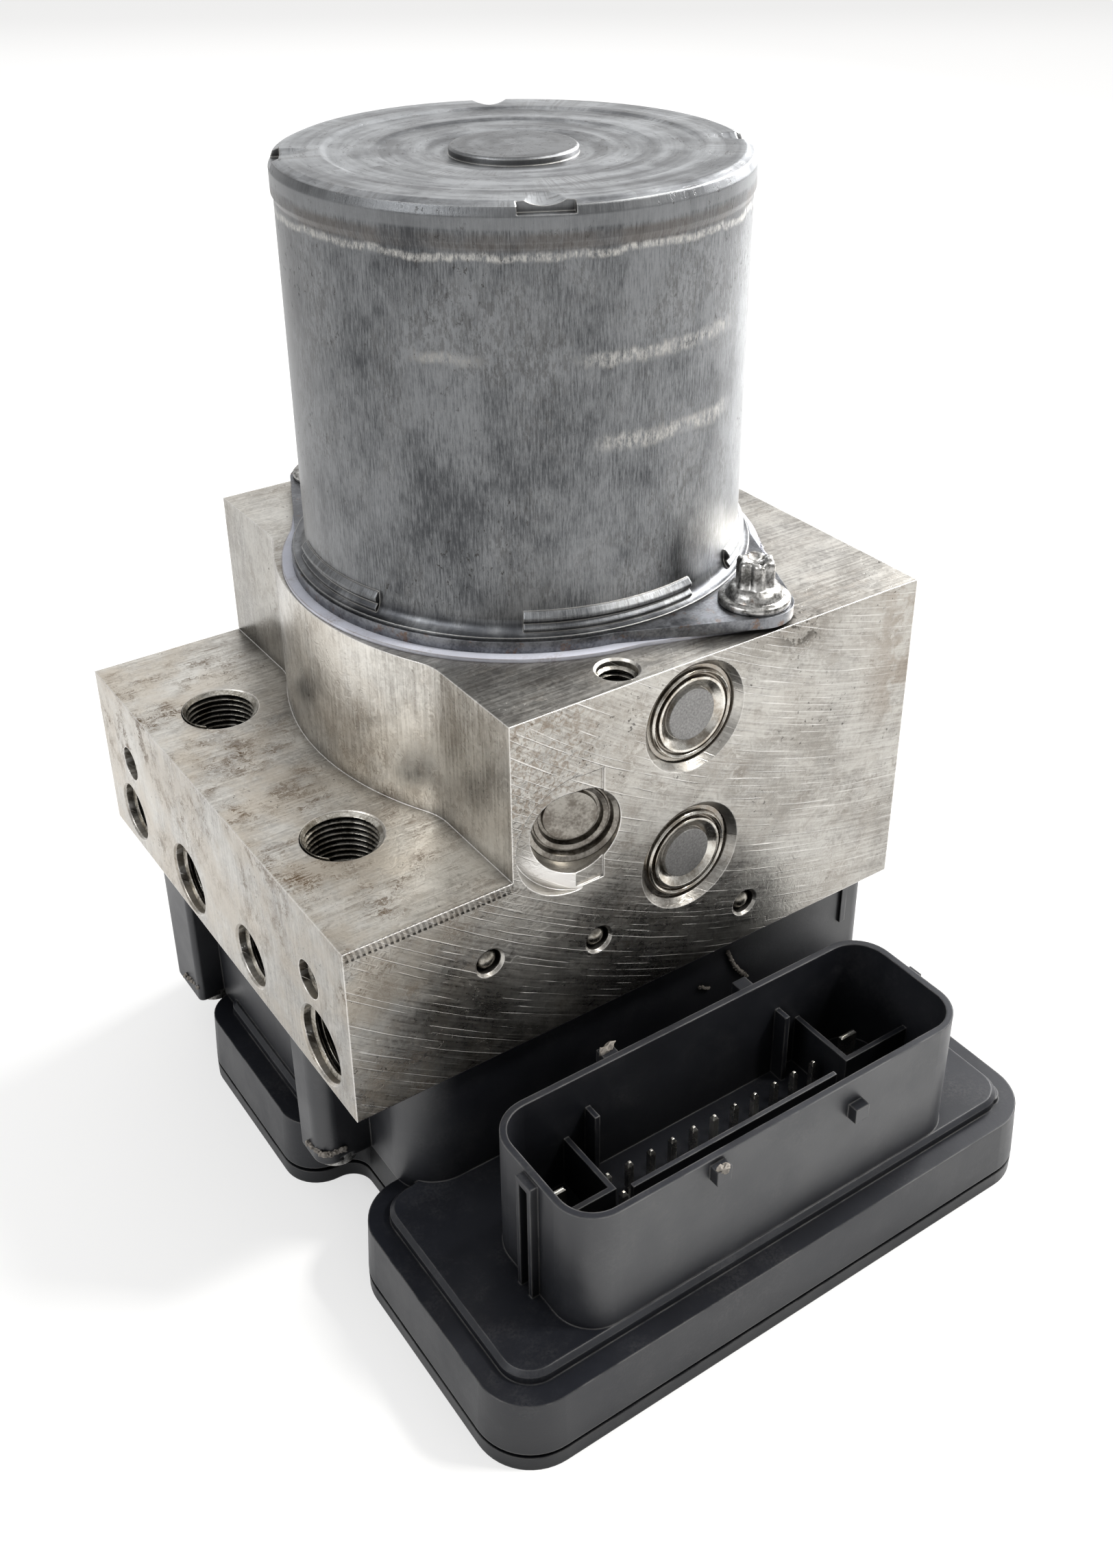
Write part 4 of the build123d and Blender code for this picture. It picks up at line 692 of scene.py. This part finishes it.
def addBolts():
    shape = bmesh.new()
    head, outline = boltOutline()
    starDepth = boltLook["headRadius"] - boltLook["rootRadius"]
    for index, place in enumerate(boltPlaces()):
        ring = bmesh.ops.create_circle(shape, cap_ends=True, segments=boltLook["steps"],
                                       radius=boltLook["washerRadius"] - 0.1)["verts"]
        edges = [edge for edge in shape.edges if edge.verts[0] in ring and edge.verts[1] in ring]
        rings = [ring]
        for radius, height, star in outline:
            grown = bmesh.ops.extrude_edge_only(shape, edges=edges)["geom"]
            ring = [item for item in grown if isinstance(item, bmesh.types.BMVert)]
            edges = [item for item in grown if isinstance(item, bmesh.types.BMEdge)]
            edges = [edge for edge in edges if edge.verts[0] in ring and edge.verts[1] in ring]
            rings.append(ring)
            for vert in ring:
                angle = math.atan2(vert.co.y, vert.co.x)
                lobe = (0.5 + 0.5 * math.cos(boltLook["points"] * angle)) ** boltLook["lobePower"]
                out = radius - star * starDepth * (1 - lobe)
                wear = 0.0
                if height > head - boltLook["wearStart"] and radius > 0.5:
                    around = Vector((math.cos(angle), math.sin(angle), 0.0)) * boltLook["wearPatches"]
                    wear = max(0.0, noise.noise(around + Vector((0.0, 0.0, index * 9.0))))
                out -= wear * boltLook["wearIn"]
                rise = height - wear * boltLook["wearDown"]
                vert.co = (out * math.cos(angle), out * math.sin(angle), rise)
        bmesh.ops.contextual_create(shape, geom=ring)
        bmesh.ops.translate(shape, vec=place, verts=[vert for row in rings for vert in row])
    piece = meshPiece("worn_motor_bolts", shape, "zinc_steel", smooth=True)
    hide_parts("motor_bolts")


addBolts()
print("bolts made")

# torn bits left by the mould, sealant pressed out under the block, and the peeled edge of the gasket
tornBits = {
    "seed": 1, "wander": 0.55, "wanderPatches": 3.1, "flat": 0.7, "uneven": 0.7, "unevenPatches": 2.2,
    # first place, last place, number and size
    "columnFeet": (((-57.3, -23.4, 15.1), (-56.7, -26.6, 15.1), 7, 0.5),
                   ((-56.4, -27.1, 15.1), (-53.2, -27.8, 15.1), 7, 0.55),
                   ((-57.3, 25.0, 15.2), (-56.9, 20.2, 15.6), 7, 0.5)),
    "sealant": (((10.9, -42.95, 34.4), (12.6, -42.95, 30.6), 9, 0.36),
                ((12.6, -42.95, 30.6), (15.2, -43.0, 27.2), 9, 0.42),
                ((5.4, -42.9, 29.6), (7.2, -42.9, 28.4), 5, 0.34)),
    "gasketEdge": (((32.2, -20.6, 94.65), (30.4, -23.6, 94.8), 10, 0.32),
                   ((30.4, -23.6, 94.8), (28.1, -27.8, 95.0), 12, 0.36)),
    "pegEnds": (((-20.5, -51.6, 36.0), (-19.4, -51.4, 36.3), 3, 0.9),
                ((-20.3, -79.3, 36.0), (-19.5, -79.4, 35.6), 3, 0.7))}


def addTornBits(name, runs, look="torn_plastic"):
    shape = bmesh.new()
    for first, last, count, size in runs:
        for i in range(count):
            place = Vector(first).lerp(Vector(last), i / (count - 1))
            place += noise.noise_vector(place * tornBits["wanderPatches"]) * size * tornBits["wander"]
            bit = bmesh.ops.create_icosphere(shape, subdivisions=2, radius=size)["verts"]
            for vert in bit:
                bulge = noise.noise(vert.co * tornBits["unevenPatches"] / size + place)
                vert.co *= 1 + tornBits["uneven"] * bulge
            bmesh.ops.scale(shape, vec=(1.0, tornBits["flat"], 1.0), verts=bit)
            bmesh.ops.translate(shape, vec=place, verts=bit)
    meshPiece(name, shape, look)


# without a seed noise_vector follows the clock, and the bits would lie differently on each run
noise.seed_set(tornBits["seed"])
addTornBits("column_foot_flash", tornBits["columnFeet"])
addTornBits("sealant_thread", tornBits["sealant"])
addTornBits("torn_peg_ends", tornBits["pegEnds"])
addTornBits("torn_gasket_edge", tornBits["gasketEdge"], "torn_gasket")
print("torn bits made")

# camera, solved from the picture
cameraPlace = {"at": (-0.12653, -0.19762, 0.20682), "turn": -34.591, "rise": 29.444, "roll": -0.246,
               "lens": 36.837, "sensor": 36.0, "shiftX": -0.010034, "shiftY": -0.083432,
               "nearest": 0.005, "farthest": 20.0}


def addCamera():
    data = bpy.data.cameras.new("camera")
    data.sensor_width = cameraPlace["sensor"]
    data.lens = cameraPlace["lens"]
    data.shift_x = cameraPlace["shiftX"]
    data.shift_y = cameraPlace["shiftY"]
    data.clip_start = cameraPlace["nearest"]
    data.clip_end = cameraPlace["farthest"]
    camera = bpy.data.objects.new("camera", data)
    bpy.context.scene.collection.objects.link(camera)
    turn, rise, roll = (math.radians(cameraPlace[key]) for key in ("turn", "rise", "roll"))
    back = Vector((math.sin(turn) * math.cos(rise), -math.cos(turn) * math.cos(rise), math.sin(rise)))
    right = Vector((0, 0, 1)).cross(back).normalized()
    up = back.cross(right)
    rolledRight = math.cos(roll) * right + math.sin(roll) * up
    rolledUp = -math.sin(roll) * right + math.cos(roll) * up
    columns = Matrix((rolledRight, rolledUp, back)).transposed()
    camera.matrix_world = Matrix.Translation(cameraPlace["at"]) @ columns.to_4x4()
    bpy.context.scene.camera = camera


addCamera()

# studio: pale floor, a room graded by height for the reflections, and four soft lamps
studio = {"floorSize": 3.0, "floorColor": (0.42, 0.417, 0.412), "floorFill": 0.52,
          # height, as a share of the way from straight down to straight up, and brightness
          "room": ((0.0, 0.78), (0.54, 0.78), (0.62, 0.23), (1.0, 1.0)),
          "lamps": (
              {"name": "keyLamp", "at": (0.58, -0.50, 1.00), "size": (0.16, 0.16), "power": 9.6,
               "color": (1.0, 0.985, 0.95), "aim": (0, -0.01, 0.08)},
              {"name": "rightLamp", "at": (0.62, 0.05, 0.42), "size": (0.30, 0.30), "power": 10.5,
               "color": (1.0, 1.0, 1.0), "aim": (0.04, 0.0, 0.11)},
              {"name": "leftLamp", "at": (-0.80, -0.05, 0.80), "size": (0.45, 0.45), "power": 4.5,
               "color": (0.97, 0.985, 1.0), "aim": (-0.03, 0.0, 0.05)},
              {"name": "backLamp", "at": (0.50, 0.85, 0.60), "size": (1.3, 0.9), "power": 2.1,
               "color": (1.0, 1.0, 1.0), "aim": (0, 0, 0.08)},
          )}


def addRoom():
    world = bpy.data.worlds.new("studioWorld")
    bpy.context.scene.world = world
    world.use_nodes = True
    tree = world.node_tree
    tree.nodes.clear()
    coordinates = tree.nodes.new("ShaderNodeTexCoord")
    split = tree.nodes.new("ShaderNodeSeparateXYZ")
    stretch = tree.nodes.new("ShaderNodeMapRange")
    ramp = tree.nodes.new("ShaderNodeValToRGB")
    room = tree.nodes.new("ShaderNodeBackground")
    output = tree.nodes.new("ShaderNodeOutputWorld")
    stretch.inputs["From Min"].default_value = -1.0
    stops = ramp.color_ramp.elements
    for height, level in studio["room"]:
        atEnd = {0.0: stops[0], 1.0: stops[-1]}
        stop = atEnd[height] if height in atEnd else stops.new(height)
        stop.color = (level, level, level, 1)
    tree.links.new(coordinates.outputs["Generated"], split.inputs[0])
    tree.links.new(split.outputs[2], stretch.inputs["Value"])
    tree.links.new(stretch.outputs["Result"], ramp.inputs["Fac"])
    tree.links.new(ramp.outputs["Color"], room.inputs["Color"])
    tree.links.new(room.outputs[0], output.inputs["Surface"])


def floorMaterial():
    # a little fill takes the floor to white for the eye and for mirrors, and leaves its shadow
    material = bpy.data.materials.new("paleFloor")
    material.use_nodes = True
    tree = material.node_tree
    tree.nodes.clear()
    matt = tree.nodes.new("ShaderNodeBsdfDiffuse")
    matt.inputs["Color"].default_value = (*studio["floorColor"], 1)
    path = tree.nodes.new("ShaderNodeLightPath")
    seen = path.outputs["Is Camera Ray"]
    for kind in ("Is Glossy Ray", "Is Transmission Ray"):
        either = tree.nodes.new("ShaderNodeMath")
        either.operation = "MAXIMUM"
        tree.links.new(seen, either.inputs[0])
        tree.links.new(path.outputs[kind], either.inputs[1])
        seen = either.outputs[0]
    share = tree.nodes.new("ShaderNodeMath")
    share.operation = "MULTIPLY"
    share.inputs[1].default_value = studio["floorFill"]
    glow = tree.nodes.new("ShaderNodeEmission")
    total = tree.nodes.new("ShaderNodeAddShader")
    output = tree.nodes.new("ShaderNodeOutputMaterial")
    tree.links.new(seen, share.inputs[0])
    tree.links.new(share.outputs[0], glow.inputs["Strength"])
    tree.links.new(matt.outputs[0], total.inputs[0])
    tree.links.new(glow.outputs[0], total.inputs[1])
    tree.links.new(total.outputs[0], output.inputs["Surface"])
    return material


def addFloor():
    shape = bmesh.new()
    bmesh.ops.create_grid(shape, x_segments=1, y_segments=1, size=studio["floorSize"] / 2)
    mesh = bpy.data.meshes.new("floor")
    shape.to_mesh(mesh)
    shape.free()
    mesh.materials.append(floorMaterial())
    floor = bpy.data.objects.new("floor", mesh)
    bpy.context.scene.collection.objects.link(floor)


def addLamps():
    for lamp in studio["lamps"]:
        data = bpy.data.lights.new(lamp["name"], "AREA")
        data.shape = "RECTANGLE"
        data.size, data.size_y = lamp["size"]
        data.energy = lamp["power"]
        data.color = lamp["color"]
        light = bpy.data.objects.new(lamp["name"], data)
        bpy.context.scene.collection.objects.link(light)
        light.location = lamp["at"]
        aim = Vector(lamp["aim"]) - Vector(lamp["at"])
        light.rotation_mode = "QUATERNION"
        light.rotation_quaternion = aim.to_track_quat("-Z", "Y")


addRoom()
addFloor()
addLamps()
bpy.context.scene.view_settings.view_transform = "Standard"
print("camera and studio ready")
